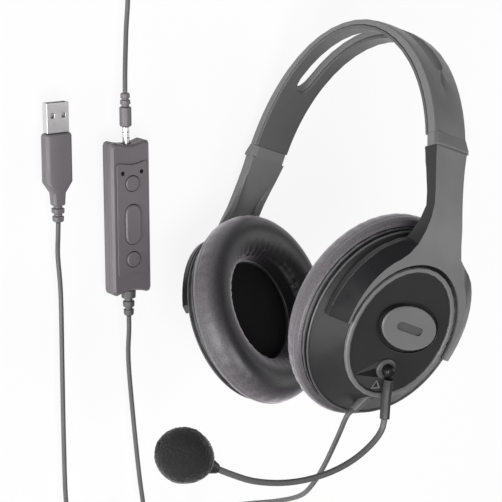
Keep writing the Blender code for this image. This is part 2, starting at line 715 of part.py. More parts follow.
def band_angles():
    """Rows of the headband from one end to the other, with rows at the slot's ends."""
    first = collar_angle(COLLAR_HEIGHT + FIT)
    half = [first + (SLOT_END_ANGLE - first) * i / BAND_ROWS for i in range(BAND_ROWS)]
    rounding = [SLOT_END_ANGLE + SLOT_ROUNDING * (1.0 - math.cos(math.pi / 2.0 * i / 3.0)) for i in range(4)]
    half += rounding
    crown = [rounding[-1] + (math.pi / 2.0 - rounding[-1]) * i / (CROWN_ROWS / 2)
             for i in range(1, CROWN_ROWS // 2)]
    half += crown
    return half + [math.pi / 2.0] + [math.pi - angle for angle in reversed(half)]


def band_mesh(name, depth_of, wall_of, widen, crowning, valley):
    """One layer of the headband: two strips over the crown that join below the slot's ends."""
    angles = band_angles()
    surface = []
    faces = []
    walls = []
    inward = []
    columns = 9
    for angle in angles:
        folded = min(angle, math.pi - angle)
        rise = ease((folded - angles[0]) / (math.pi / 2.0 - angles[0]))
        half = BAND_HALF_WIDTH_END + (BAND_HALF_WIDTH_CROWN - BAND_HALF_WIDTH_END) * rise
        into = (folded - SLOT_END_ANGLE) / SLOT_ROUNDING
        if into >= 0.0:
            opened = math.sqrt(max(1.0 - (1.0 - min(into, 1.0)) ** 2, 0.0))
            slot = 0.0010 + (SLOT_HALF_WIDTH + widen - 0.0010) * opened
        else:
            slot = 0.0010 + 0.0026 * ease(-into / 2.0)
        hollow = 0.0
        if valley and into < 0.0:
            hollow = VALLEY_DEPTH * ease((folded - VALLEY_END_ANGLE) / (SLOT_END_ANGLE - VALLEY_END_ANGLE))
        bevel = 0.0009
        across = (-half, -half + bevel, -(half + slot) / 2.0, -slot, 0.0,
                  slot, (half + slot) / 2.0, half - bevel, half)
        out = arch_out(angle)
        middle = arch_point(angle) - out * depth_of(rise)
        for column, y in enumerate(across):
            sink = crowning * (y / half) ** 2
            if column in (0, columns - 1):
                sink += crowning * 0.6
            if column == 4:
                sink += hollow
            surface.append(middle + Vector((0.0, y, 0.0)) - out * sink)
            walls.append(wall_of(rise) - sink)
            inward.append(-out)
    for row in range(len(angles) - 1):
        middle = (angles[row] + angles[row + 1]) / 2.0
        in_slot = min(middle, math.pi - middle) > SLOT_END_ANGLE
        for column in range(columns - 1):
            if in_slot and column in (3, 4):
                continue
            a = row * columns + column
            faces.append((a, a + 1, a + columns + 1, a + columns))
    return thick_plate(name, surface, faces, walls, inward)


def band_wall(rise):
    """Wall of the headband's outer layer, thinner toward the crown."""
    return BAND_WALL_END + (BAND_WALL_CROWN - BAND_WALL_END) * rise


def slide_frame(side):
    """Middle of the strip at the collar's lower edge, and the way the strip goes up into the band."""
    angle = collar_angle()
    point = arch_point(angle) - arch_out(angle) * STRIP_DEPTH
    way = Vector((-math.sin(SLIDE_LEAN), 0.0, math.cos(SLIDE_LEAN)))
    return Vector((point.x * side, point.y, point.z)), Vector((way.x * side, 0.0, way.z))


def bar_loops(stations, half_width, half_thick):
    """Rectangular loops at (point, way) stations of a flat bar that lies along the head's depth."""
    loops = []
    for point, way in stations:
        out = Vector((way.z, 0.0, -way.x))
        across = Vector((0.0, half_width, 0.0))
        loops.append([point + across + out * half_thick, point - across + out * half_thick,
                      point - across - out * half_thick, point + across - out * half_thick])
    return loops


def strip_mesh(name, side, room=0.0):
    """Steel strip: straight inside the band, bent at the collar to go down inside the stem."""
    point, way = slide_frame(side)
    lean = SLIDE_LEAN / 2.0 + math.radians(1.0)
    down = Vector((math.sin(lean) * side, 0.0, -math.cos(lean)))
    bend = (way - down).normalized()
    tail = point + down * (STRIP_TAIL + room)
    stations = [(point + way * STRIP_INSERTED, way), (point, bend), (tail, -down)]
    return loft(name, bar_loops(stations, STRIP_HALF_WIDTH + room, STRIP_THICK / 2.0 + room))


def pocket_mesh(side):
    """Room for the strip through a collar and up into the band."""
    point, way = slide_frame(side)
    stations = [(point - way * 0.004, way), (point + way * (STRIP_INSERTED + 0.002), way)]
    return loft("pocket", bar_loops(stations, STRIP_HALF_WIDTH + FIT, STRIP_THICK / 2.0 + FIT))


def collar_mesh(name, side):
    """Flared cap round each end of the band."""
    loops = []
    total = band_wall(0.0) + FIT + LINER_WALL
    for above, flare in ((0.0, COLLAR_FLARE), (0.0012, COLLAR_FLARE), (COLLAR_HEIGHT, 0.0002)):
        angle = collar_angle(above)
        out = arch_out(angle)
        face = arch_point(angle) + out * flare
        back = arch_point(angle) - out * total
        corner = 0.0016
        loop = []
        for middle, turn in ((face, 1), (back, -1)):
            half = BAND_HALF_WIDTH_END + (flare if turn > 0 else 0.0002)
            for y, sink in ((-half, corner), (-half + corner, 0.0), (half - corner, 0.0), (half, corner)):
                at = middle - out * sink * turn + Vector((0.0, y * turn, 0.0))
                loop.append(Vector((at.x * side, at.y, at.z)))
        loops.append(loop)
    return loft(name, loops)


def headband(frame, looks):
    """Outer layer, liner and collars."""
    layer = band_mesh("headband_outer", lambda rise: 0.0, band_wall, 0.0, BAND_CROWNING, True)
    outer = add("headband_outer", layer,
                looks["arm"], frame)
    liner_mesh = band_mesh("headband_liner", lambda rise: band_wall(rise) + FIT, lambda rise: LINER_WALL,
                           0.0004, 0.0, False)
    add("headband_liner", liner_mesh, looks["arm"], frame)
    for side_name, side in (("left", 1), ("right", -1)):
        pocket = cutter(side_name + "_slider_pocket", pocket_mesh(side), frame)
        cut(outer, pocket)
        name = side_name + "_collar"
        cut(add(name, collar_mesh(name, side), looks["arm"], frame), pocket)
        name = side_name + "_slider_strip"
        add(name, strip_mesh(name, side), looks["steel"], frame)


def arms(frame, looks):
    """Both arms, each with the holes that its cup's pins turn in."""
    left = arm_mesh("left_arm")
    right = mirrored("right_arm", left)
    for side_name, side, mesh in (("left", 1, left), ("right", -1, right)):
        place = cup_matrix(side)
        pivot = place @ PIVOT
        arm = add(side_name + "_arm", mesh, looks["arm"], frame, at=pivot)
        way = place.to_3x3() @ Vector((1.0, 0.0, 0.0))
        depth = ((RING_HALF[0], PIN_RADIUS + FIT), (pin_reach() + FIT, PIN_RADIUS + FIT))
        holes = [turned("hole", depth, pivot, way * turn, 12) for turn in (-1, 1)]
        cut(arm, cutter(side_name + "_arm_pin_holes", joined("holes", holes), frame))
        cut(arm, cutter(side_name + "_strip_seat", strip_mesh("seat", side, FIT), frame))


def boom(frame, plate, shell, looks):
    """Hub, sleeve, gooseneck and microphone on the left cup; the frame is the cup's."""
    u, v = HUB_AT
    hub_frame = empty("boom_frame", frame, Matrix.Translation((u, v, 0.0)))
    back = (cup_matrix(1) @ Matrix.Translation((u, v, 0.0))).inverted()
    floor = -PLATE_SUNK - SECTOR_DEPTH
    arc = [SECTOR_ANGLES[0] + (SECTOR_ANGLES[1] - SECTOR_ANGLES[0]) * i / 8 for i in range(9)]
    corner = [(u + HUB_RADIUS * math.cos(a), v + HUB_RADIUS * math.sin(a))
              for a in (math.radians(80.0), math.radians(140.0))]
    outline = corner + [(u + SECTOR_RADIUS * math.cos(a), v + SECTOR_RADIUS * math.sin(a)) for a in arc]
    sector = loft("sector", [[Vector((x, y, depth)) for x, y in outline] for depth in (floor, FIT)])
    cut(plate, cutter("boom_sector", sector, frame))
    seat = turned("seat", ((floor, HUB_RADIUS + FIT), (FIT, HUB_RADIUS + FIT)), (u, v, 0), (0, 0, 1), 20)
    cut(plate, cutter("boom_hub_seat", seat, frame))
    bore = turned("bore", ((0.0, HUB_SHAFT_RADIUS + FIT), (RIM_DEPTH, HUB_SHAFT_RADIUS + FIT)),
                  (u, v, FLOOR_INSIDE - RIM_DEPTH / 2.0), (0, 0, 1), 16)
    tool = cutter("boom_bore", bore, frame)
    cut(plate, tool)
    cut(shell, tool)
    clip_top = FLOOR_INSIDE - FIT
    hub_base = floor + FIT
    profile = ((clip_top - HUB_CLIP_THICK, HUB_CLIP_RADIUS), (clip_top, HUB_CLIP_RADIUS),
               (clip_top, HUB_SHAFT_RADIUS), (hub_base, HUB_SHAFT_RADIUS), (hub_base, HUB_RADIUS),
               (0.0, HUB_RADIUS), (HUB_FLANGE_TOP, HUB_RADIUS - HUB_FLANGE_TOP),
               (HUB_FLANGE_TOP, HUB_DOME_RADIUS), (HUB_PROUD * 0.6, HUB_DOME_RADIUS),
               (HUB_PROUD * 0.88, HUB_DOME_RADIUS * 0.75), (HUB_PROUD, HUB_DOME_RADIUS * 0.35))
    add("boom_hub", turned("boom_hub", profile, (0, 0, 0), (0, 0, 1), 18), looks["shell"], hub_frame)
    from_hub = [Vector(point) - Vector((u, v, 0.0)) for point in SLEEVE_ROUTE]
    sleeve = smooth_route([Vector((0.0, 0.0, SLEEVE_ROUTE[0][2]))] + from_hub, 4)
    sleeve = [point for point in sleeve if math.hypot(point.x, point.y) > HUB_DOME_RADIUS + SLEEVE_RADIUS]
    sleeve.insert(0, Vector((from_hub[0].x, from_hub[0].y, 0.0)).normalized() * (HUB_DOME_RADIUS + FIT))
    sleeve[0].z = sleeve[1].z
    add("boom_sleeve", tube("boom_sleeve", sleeve, SLEEVE_RADIUS), looks["shell"], hub_frame)
    neck = [back @ point for point in smooth_route(BOOM_ROUTE, 3)]
    neck[0] = neck[0] + (neck[1] - neck[0]).normalized() * FIT
    add("boom_gooseneck", tube("boom_gooseneck", neck, BOOM_RADIUS), looks["rubber"], hub_frame)
    way = (neck[-1] - neck[-2]).normalized()
    start = neck[-1] + way * FIT
    profile = ((0.0, BOOM_RADIUS + 0.0006), (MIC_HOLDER_LENGTH * 0.3, MIC_HOLDER_RADIUS),
               (MIC_HOLDER_LENGTH, MIC_HOLDER_RADIUS))
    add("mic_holder", turned("mic_holder", profile, start, way, 16), looks["shell"], hub_frame)
    capsule = MIC_HOLDER_LENGTH + FIT
    profile = ((capsule, MIC_CAPSULE_RADIUS), (capsule + MIC_CAPSULE_LENGTH, MIC_CAPSULE_RADIUS))
    add("mic_capsule", turned("mic_capsule", profile, start, way, 16), looks["steel"], hub_frame)
    foam_start = MIC_HOLDER_LENGTH * 0.35
    outer = []
    rows = 10
    for i in range(rows + 1):
        t = math.pi * (0.12 + 0.88 * i / rows)
        outer.append((foam_start + FOAM_LENGTH * (1.0 - math.cos(t)) / 2.0,
                      max(FOAM_RADIUS * math.sin(t), 0.0008)))
    inside = ((capsule + MIC_CAPSULE_LENGTH + FIT, MIC_CAPSULE_RADIUS + FIT),
              (capsule - FIT, MIC_CAPSULE_RADIUS + FIT), (capsule - FIT * 2, MIC_HOLDER_RADIUS + FIT),
              (outer[0][0], MIC_HOLDER_RADIUS + FIT))
    profile = list(reversed(outer)) + [(along, radius) for along, radius in reversed(inside)]
    foam = turned("mic_windscreen", profile, start, way, FOAM_SIDES)
    add("mic_windscreen", foam, looks["foam"], hub_frame)


def gland(frame, shell, looks):
    """Short tapered sleeve by which the cord leaves the left cup."""
    start = Vector(GLAND_START)
    way = Vector(GLAND_TIP) - start
    length = way.length
    profile = ((0.0, GLAND_RADIUS), (length * 0.6, GLAND_RADIUS), (length, GLAND_TIP_RADIUS))
    add("cord_gland", turned("cord_gland", profile, start, way, 14), looks["rubber"], frame)
    profile = ((-length * 0.1, GLAND_RADIUS + FIT), (length * 1.2, GLAND_RADIUS + FIT))
    cut(shell, cutter("gland_hole", turned("gland_hole", profile, start, way, 14), frame))


def lay_down(frame, pieces):
    """Turn the frame so that the pieces rest on their right side, over the middle of their base."""
    bpy.context.view_layer.update()
    depsgraph = bpy.context.evaluated_depsgraph_get()
    clouds = []
    for piece in pieces:
        solid = piece.evaluated_get(depsgraph)
        mesh = solid.to_mesh()
        spots = np.empty(len(mesh.vertices) * 3)
        mesh.vertices.foreach_get("co", spots)
        turn = np.array(solid.matrix_world)
        clouds.append(spots.reshape(-1, 3) @ turn[:3, :3].T + turn[:3, 3])
        solid.to_mesh_clear()
    cloud = np.concatenate(clouds)
    weight = np.array(LAY_BALANCE)
    best = (math.inf, None)
    for tip in np.radians(np.arange(*LAY_TIPS)):
        for roll in np.radians(np.arange(*LAY_ROLLS)):
            up = np.array((math.cos(tip) * math.cos(roll), math.sin(roll), -math.sin(tip) * math.cos(roll)))
            rise = weight @ up - (cloud @ up).min()
            if rise < best[0]:
                best = (rise, up)
    up = Vector(best[1])
    ahead = Vector((0.0, 1.0, 0.0))
    ahead = (ahead - up * ahead.dot(up)).normalized()
    laid = Matrix((ahead.cross(up), ahead, up))
    spread = cloud @ np.array(laid).T
    low, high = spread.min(axis=0), spread.max(axis=0)
    middle = (low + high) / 2.0
    place = Matrix.Translation((-middle[0], -middle[1], -low[2])) @ laid.to_4x4()
    frame.matrix_local = place
    return place


def block(name, low, high):
    """A box between two corners."""
    (x, y, z), (far_x, far_y, top) = low, high
    loops = [[Vector((x, y, h)), Vector((far_x, y, h)), Vector((far_x, far_y, h)), Vector((x, far_y, h))]
             for h in (z, top)]
    return loft(name, loops)


def case_outline(inset, height, corner=0.0022):
    """Outline of the controller: straight sides, round corners and hollow ends."""
    length, width = CASE_HALF[0] - inset, CASE_HALF[1] - inset
    loop = []
    for end in (1, -1):
        loop.append(Vector((end * (length - corner), -end * width, height)))
        loop.append(Vector((end * (length - corner * 0.25), -end * (width - corner * 0.3), height)))
        for i in range(7):
            y = -end * (width - corner) * (1.0 - i / 3.0)
            sink = CASE_HOLLOW_END * (1.0 - (y / (width - corner)) ** 2)
            loop.append(Vector((end * (length - sink), y, height)))
        loop.append(Vector((end * (length - corner * 0.25), end * (width - corner * 0.3), height)))
        loop.append(Vector((end * (length - corner), end * width, height)))
    return loop


def controller_case(frame, looks):
    """Tray, hollow cover and face panel, with the holes that the buttons and the jack need."""
    seam = CASE_SPLIT + FIT
    tray = add("controller_bottom_case", loft("controller_bottom_case", [
        case_outline(CASE_EDGE, 0.0), case_outline(0.0, CASE_EDGE), case_outline(0.0, CASE_SPLIT)]),
        looks["case"], frame)
    cover = add("controller_top_case", loft("controller_top_case", [
        case_outline(0.0, seam), case_outline(0.0, CASE_TOP - CASE_EDGE),
        case_outline(CASE_EDGE, CASE_TOP)]),
        looks["case"], frame)
    hollow = loft("hollow", [case_outline(CASE_WALL, CASE_WALL),
                             case_outline(CASE_WALL, CASE_TOP - CASE_WALL)])
    hollow = cutter("controller_hollow", hollow, frame)
    jack = cutter("controller_jack_hole", turned("jack_hole", (
        (SOCKET_SPAN[1] - CASE_WALL, JACK_HOLE_RADIUS), (CASE_HALF[0] + CASE_WALL, JACK_HOLE_RADIUS)),
        (0.0, 0.0, SOCKET_AXIS_Z), (1, 0, 0), 14), frame)
    for piece in (tray, cover):
        cut(piece, hollow)
        cut(piece, jack)
    low, high = CASE_TOP + FIT, CASE_TOP + FIT + PANEL_THICK
    outline = [case_outline(0.0, depth) for depth in (low, high)]
    narrow = (PANEL_HALF[0] / CASE_HALF[0], PANEL_HALF[1] / CASE_HALF[1])
    loops = [[Vector((point.x * narrow[0], point.y * narrow[1], point.z)) for point in loop]
             for loop in outline]
    panel = add("controller_face_panel", loft("controller_face_panel", loops), looks["case"], frame)
    under, over = CASE_TOP - CASE_WALL * 2.0, high + FIT
    room = BUTTON_RADIUS + FIT
    holes = [turned("hole", ((under, room), (over, room)), (x, 0.0, 0.0), (0, 0, 1), 20)
             for x in (MUTE_AT, LOWER_AT)]
    holes += [turned("hole", ((under, LIGHT_RADIUS + FIT), (over, LIGHT_RADIUS + FIT)),
                     (LIGHT_AT[0], LIGHT_AT[1] * way, 0.0), (0, 0, 1), 10) for way in (-1, 1)]
    wide = (ROCKER_SIZE[0] + FIT * 2, ROCKER_SIZE[1] + FIT * 2)
    holes.append(loft("hole", [stadium(*wide, depth, (ROCKER_AT, 0.0)) for depth in (under, over)]))
    holes = cutter("controller_face_holes", joined("holes", holes), frame)
    cut(cover, holes)
    cut(panel, holes)
    return high


def controller_inside(frame, face, looks):
    """Board with its switches, the jack socket and the two light pipes."""
    floor = CASE_WALL + FIT
    top = floor + BOARD_THICK
    name = "controller_board"
    shift = -0.0055
    board = add(name, block(name, (shift - BOARD_HALF[0], -BOARD_HALF[1], floor),
                            (shift + BOARD_HALF[0], BOARD_HALF[1], top)), looks["board"], frame)
    press = BUTTON_FOOT - BUTTON_TRAVEL - FIT
    at = (MUTE_AT, LOWER_AT, ROCKER_AT - ROCKER_SIZE[0] * 0.3, ROCKER_AT + ROCKER_SIZE[0] * 0.3)
    switches = [block("switch", (x - SWITCH_HALF, -SWITCH_HALF, floor + BOARD_THICK / 2.0),
                      (x + SWITCH_HALF, SWITCH_HALF, press)) for x in at]
    cut(board, cutter("controller_switches", joined("switches", switches), frame), "UNION")
    name = "controller_jack_socket"
    socket = add(name, block(name, (SOCKET_SPAN[0], -SOCKET_HALF_WIDTH, floor),
                             (SOCKET_SPAN[1], SOCKET_HALF_WIDTH, CASE_TOP - CASE_WALL - FIT)),
        looks["plate"], frame)
    room = JACK_PIN_RADIUS + FIT
    bore = turned("bore", ((SOCKET_SPAN[0] + CASE_WALL, room), (SOCKET_SPAN[1] + CASE_WALL, room)),
                  (0.0, 0.0, SOCKET_AXIS_Z), (1, 0, 0), 14)
    cut(socket, cutter("controller_socket_bore", bore, frame))
    for side_name, way in (("left", 1), ("right", -1)):
        name = "light_pipe_" + side_name
        pipe = turned(name, ((CASE_TOP - CASE_WALL, LIGHT_RADIUS), (face, LIGHT_RADIUS)),
                      (LIGHT_AT[0], LIGHT_AT[1] * way, 0.0), (0, 0, 1), 10)
        add(name, pipe, looks["lens"], frame)


def controller_keys(frame, face, looks):
    """Two round buttons and the long rocker between them, each with its origin where it moves from."""
    top = face + BUTTON_PROUD
    profile = ((BUTTON_FOOT, BUTTON_RADIUS), (top - 0.0004, BUTTON_RADIUS), (top, BUTTON_RADIUS * 0.86))
    for name, x in (("mute_button", MUTE_AT), ("lower_button", LOWER_AT)):
        key = turned(name, profile, (x, 0.0, 0.0), (0, 0, 1), 20)
        add(name, key, looks["case"], frame, at=(x, 0.0, BUTTON_FOOT))
    length, width = ROCKER_SIZE
    rocker_top = top + BUTTON_PROUD * 0.5
    loops = [stadium(length, width, BUTTON_FOOT, (ROCKER_AT, 0.0)),
             stadium(length, width, rocker_top - 0.0006, (ROCKER_AT, 0.0)),
             stadium(length - 0.0012, width - 0.0012, rocker_top, (ROCKER_AT, 0.0))]
    rocker = loft("volume_rocker", loops)
    add("volume_rocker", rocker, looks["case"], frame, at=(ROCKER_AT, 0.0, BUTTON_FOOT))


def jack_and_relief(frame, looks):
    """Jack plug at one end of the controller and the ribbed cord relief at the other."""
    middle = (0.0, 0.0, SOCKET_AXIS_Z)
    tip = JACK_PIN_FROM
    profile = ((tip, 0.0009), (tip + 0.0014, JACK_PIN_RADIUS), (tip + 0.0024, JACK_PIN_RADIUS * 0.8),
               (tip + 0.0030, JACK_PIN_RADIUS), (JACK_BODY_FROM - FIT, JACK_PIN_RADIUS))
    add("jack_pin", turned("jack_pin", profile, middle, (1, 0, 0), 14), looks["nickel"], frame)
    body = turned("jack_plug_body", JACK_PROFILE, (JACK_BODY_FROM, 0.0, SOCKET_AXIS_Z), (1, 0, 0), 14)
    add("jack_plug_body", body, looks["rubber"], frame)
    start = -(CASE_HALF[0] - CASE_HOLLOW_END + FIT)
    relief = turned("controller_strain_relief", RELIEF_PROFILE, (start, 0.0, SOCKET_AXIS_Z), (-1, 0, 0), 14)
    add("controller_strain_relief", relief, looks["rubber"], frame)
    jack_end = Vector((JACK_BODY_FROM + JACK_PROFILE[-1][0] + FIT, 0.0, SOCKET_AXIS_Z))
    return jack_end, Vector((start - RELIEF_PROFILE[-1][0] - FIT, 0.0, SOCKET_AXIS_Z))


def rounded(x, half_width, half_height, corner=0.6):
    """A soft-cornered section of the plug's boot, twelve points."""
    loop = []
    for i in range(12):
        angle = 2.0 * math.pi * i / 12
        c, s = math.cos(angle), math.sin(angle)
        loop.append(Vector((x, half_width * math.copysign(abs(c) ** corner, c),
                            half_height * math.copysign(abs(s) ** corner, s))))
    return loop


def usb_plug(frame, looks):
    """Metal shell with two latch holes, the tongue inside it, and the moulded boot."""
    length, half_width, half_height = USB_SHELL
    add("usb_plug_boot", loft("usb_plug_boot", [rounded(*section) for section in BOOT_SECTIONS]),
        looks["rubber"], frame)
    deep = length * 0.25
    wall = USB_SHELL_WALL
    loops = []
    for x, thin in ((FIT, 0.0), (length, 0.0), (length, wall), (deep, wall)):
        y, z = half_width - thin, half_height - thin
        loops.append([Vector((x, y, z)), Vector((x, -y, z)), Vector((x, -y, -z)), Vector((x, y, -z))])
    shell = add("usb_plug_shell", loft("usb_plug_shell", loops), looks["nickel"], frame)
    holes = [block("hole", (length * 0.58 - USB_HOLE, way * half_width * 0.5 - USB_HOLE,
                            half_height - wall * 2.0),
                   (length * 0.58 + USB_HOLE, way * half_width * 0.5 + USB_HOLE, half_height + wall))
             for way in (-1, 1)]
    cut(shell, cutter("usb_latch_holes", joined("holes", holes), frame))
    inner = half_width - wall - FIT * 2
    low = -half_height + wall + FIT
    add("usb_plug_tongue", block("usb_plug_tongue", (deep + FIT, -inner, low),
                                 (length - 0.0006, inner, low + 0.0016)), looks["tongue"], frame)
    return Vector((BOOT_SECTIONS[-1][0] - FIT, 0.0, 0.0))


def coil_route(centre, start, way, turns):
    """Points of a coil that spirals in, climbs in half a turn and spirals out, with straight ends."""
    inner = COIL_RADIUS - COIL_STEP * turns
    total = 2.0 * turns + 0.5
    count = round(total * COIL_POINTS)
    points = []
    for i in range(count + 1):
        turn = total * i / count
        rising = min(max((turn - turns) / 0.5, 0.0), 1.0)
        radius = max(COIL_RADIUS - COIL_STEP * turn, inner)
        radius = max(radius, COIL_RADIUS - COIL_STEP * (total - turn))
        radius -= COIL_STEP * COIL_PINCH * math.sin(math.pi * rising)
        angle = math.radians(start) + way * 2.0 * math.pi * turn
        points.append(Vector((centre[0] + radius * math.cos(angle), centre[1] + radius * math.sin(angle),
                              COIL_BASE + COIL_STEP * ease(rising))))
    straight = CORD_RADIUS * 2.0
    for end in (0, -1):
        angle = math.radians(start) + (way * 2.0 * math.pi * total if end else 0.0)
        heading = Vector((-math.sin(angle), math.cos(angle), 0.0)) * way
        tip = points[end] + heading * (straight if end else -straight)
        points.insert(len(points) if end else 0, tip)
    return points


def least_gap(points):
    """Smallest clear distance between turns of a coil, on its points and the middles between them."""
    spots = []
    for order, (point, follower) in enumerate(zip(points, points[1:])):
        spots += [(order, point), (order + 0.5, (point + follower) / 2.0)]
    apart = COIL_POINTS / 3.0
    return min((a - b).length for i, a in spots for j, b in spots if j - i >= apart) - CORD_RADIUS * 2.0


def coil(name, centre, start, way, turns, angle, looks):
    """A coil of cord and the tie round its turns; returns where it starts and ends."""
    points = coil_route(centre, start, way, turns)
    print(f"{name}: least gap between turns {least_gap(points) * 1000.0:.3f} mm")
    add(name, tube(name, points, CORD_RADIUS, 1), looks["rubber"])
    nearest = COIL_RADIUS - COIL_STEP * (turns + COIL_PINCH)
    inside = math.sqrt(nearest ** 2 - (TIE_WIDTH / 2.0 + CORD_RADIUS) ** 2) - CORD_RADIUS - FIT * 2
    outside = COIL_RADIUS + CORD_RADIUS + FIT * 2
    low, high = COIL_BASE - CORD_RADIUS - FIT * 2, COIL_BASE + COIL_STEP + CORD_RADIUS + FIT * 2
    loops = []
    for across in (-TIE_WIDTH / 2.0, TIE_WIDTH / 2.0):
        for wall in ((0.0, TIE_WALL) if across > 0.0 else (TIE_WALL, 0.0)):
            loops.append([Vector((r, across, z)) for r, z in (
                (inside - wall, low - wall), (outside + wall, low - wall),
                (outside + wall, high + wall), (inside - wall, high + wall))])
    tie_name = name.replace("cord_coil", "coil_tie")
    place = Matrix.Translation((*centre, 0.0)) @ Matrix.Rotation(math.radians(angle), 4, "Z")
    tie = add(tie_name, loft(tie_name, loops, closed=True), looks["rubber"])
    tie.matrix_local = place
    return points[0], points[-1]


def cord(name, start, route, end, looks, steps=3):
    """A free stretch of cord between two pieces, just clear of both."""
    points = smooth_route([start] + [Vector(point) for point in route] + [end], steps)
    points[0] = points[0] + (points[1] - points[0]).normalized() * FIT
    points[-1] = points[-1] + (points[-2] - points[-1]).normalized() * FIT
    add(name, tube(name, points, CORD_RADIUS), looks["rubber"])


def desk_side(headset_place, looks):
    """Controller, plugs and cords on the table beside the headset."""
    box_place = Matrix.Translation((*CONTROLLER_AT, 0.0)) @ Matrix.Rotation(CONTROLLER_TURN, 4, "Z")
    box = empty("controller_frame", None, box_place)
    face = controller_case(box, looks)
    controller_inside(box, face, looks)
    controller_keys(box, face, looks)
    jack_end, relief_end = (box_place @ point for point in jack_and_relief(box, looks))
    plug_place = Matrix.Translation((*USB_AT, USB_AXIS_Z)) @ Matrix.Rotation(USB_TURN, 4, "Z")
    boot_end = plug_place @ usb_plug(empty("usb_frame", None, plug_place), looks)
    cup_place = headset_place @ cup_matrix(1)
    gland_start, gland_end = (cup_place @ Vector(end) for end in (GLAND_START, GLAND_TIP))
    straight = gland_end + (gland_end - gland_start).normalized() * GLAND_STRAIGHT
    ends = coil("headset_cord_coil", HEADSET_COIL, HEADSET_COIL_START, 1, HEADSET_COIL_TURNS,
                HEADSET_TIE_TURN, looks)
    cord("headset_cord_drop", gland_end, (straight, *DROP_ROUTE), ends[0], looks)
    cord("headset_cord_run", ends[1], RUN_ROUTE, jack_end, looks, 2)
    ends = coil("usb_cord_coil", USB_COIL, USB_COIL_START, -1, USB_COIL_TURNS, USB_TIE_TURN, looks)
    cord("usb_cord_lead", relief_end, LEAD_ROUTE, ends[0], looks)
    cord("usb_cord_tail", ends[1], TAIL_ROUTE, boot_end, looks)


remove_everything()
LOOKS = finishes()
HEADSET = empty("headset")
LEFT_CUP = empty("left_cup_frame", HEADSET, cup_matrix(1))
RIGHT_CUP = empty("right_cup_frame", HEADSET, cup_matrix(-1))
LEFT_SHELL, LEFT_PLATE = cup("left", LEFT_CUP, LOOKS)
cup("right", RIGHT_CUP, LOOKS)
arms(HEADSET, LOOKS)
headband(HEADSET, LOOKS)
boom(LEFT_CUP, LEFT_PLATE, LEFT_SHELL, LOOKS)
gland(LEFT_CUP, LEFT_SHELL, LOOKS)
WORN = [thing for thing in bpy.data.objects if thing.type != "EMPTY" and not thing.hide_render]
desk_side(lay_down(HEADSET, WORN), LOOKS)
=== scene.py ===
"""Looks of the office headset: soft pads, foam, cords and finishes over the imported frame.

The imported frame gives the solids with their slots, bodies and joints. This file replaces
the soft solids with gathered, woven and foam pieces, gives the hard parts moulded edges,
lays the cords along the routes of the part's source, and dresses each piece in a
procedural finish. Lengths are in metres and angles in degrees, unless a line says more.
"""
from __future__ import annotations

import json
import logging
import math
from collections.abc import Callable, Iterator
from contextlib import contextmanager
from dataclasses import dataclass, field
from enum import Enum, StrEnum

import bpy
import numpy as np
from mathutils import Matrix, Vector

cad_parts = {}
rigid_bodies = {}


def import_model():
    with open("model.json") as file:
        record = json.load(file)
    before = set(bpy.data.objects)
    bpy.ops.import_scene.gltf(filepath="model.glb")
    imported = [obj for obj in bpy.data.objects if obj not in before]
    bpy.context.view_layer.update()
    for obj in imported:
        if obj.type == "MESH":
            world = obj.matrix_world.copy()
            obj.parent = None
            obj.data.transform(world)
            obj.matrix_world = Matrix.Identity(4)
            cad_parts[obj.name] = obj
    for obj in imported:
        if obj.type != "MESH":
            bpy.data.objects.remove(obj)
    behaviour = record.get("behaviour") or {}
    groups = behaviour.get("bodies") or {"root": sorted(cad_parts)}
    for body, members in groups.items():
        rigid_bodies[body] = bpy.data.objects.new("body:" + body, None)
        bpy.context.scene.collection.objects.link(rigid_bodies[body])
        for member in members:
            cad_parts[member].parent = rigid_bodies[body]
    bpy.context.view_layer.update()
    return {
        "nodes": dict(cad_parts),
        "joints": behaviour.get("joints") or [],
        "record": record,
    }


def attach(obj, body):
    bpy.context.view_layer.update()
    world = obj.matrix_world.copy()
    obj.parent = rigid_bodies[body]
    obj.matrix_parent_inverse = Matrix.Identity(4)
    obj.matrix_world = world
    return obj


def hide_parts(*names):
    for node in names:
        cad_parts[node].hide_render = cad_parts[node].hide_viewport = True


LOG = logging.getLogger("headset")
# Attribute that says where a pad's flank takes its painted highlight.
FLANK_HIGHLIGHT = "painted_flank_highlight"
WHITE = (1.0, 1.0, 1.0, 1.0)

# Angles up to which a piece is shaded smooth.
PLAIN_ANGLE = 40.0
PAD_ANGLE = 60.0
ROUND_ANGLE = 80.0

# What all the finishes share. Scales are per metre, and the wave texture's turn is in radians.
SHEEN_ROUGHNESS = 0.35
SHEEN_TINT = (0.96, 0.90, 0.97, 1.0)
BUMP_STRENGTH = 0.85
GRAIN_DETAIL = 3.0
CREASE_WIDTH = 0.22
PIT_SHADE = 0.55
BRUSH_STRETCH = (0.08, 1.0, 1.0)
WAVE_TURN = 20.0
MOTTLE_SCALE = 60.0
MOTTLE_DETAIL = 4.0
MOTTLE_SPREAD = 0.22
WEAR_SCALE = 140.0
WEAR_DETAIL = 5.0
WEAR_RANGE = (0.3, 0.7)
WEAR_SPREAD = 0.05

Point = tuple[float, float, float]
Pair = tuple[float, float]
Loop = list[Vector]
Piece = bpy.types.Object
Tree = bpy.types.NodeTree
Socket = bpy.types.NodeSocket


class Side(StrEnum):
    """The wearer's side that a cup is on."""

    LEFT = "left"
    RIGHT = "right"


class Grain(Enum):
    """The kinds of fine surface that the pieces show."""

    MOULDED = "moulded"
    LEATHER = "leather"
    WOVEN = "woven"
    FOAM = "foam"
    BRUSHED = "brushed"


class Winding(Enum):
    """The way that a coil is wound, seen from above."""

    ANTICLOCKWISE = 1
    CLOCKWISE = -1


def eased(share: float | np.ndarray) -> float | np.ndarray:
    """Smooth step from 0 to 1 of one share or of a row of them."""
    return share * share * (3.0 - 2.0 * share)


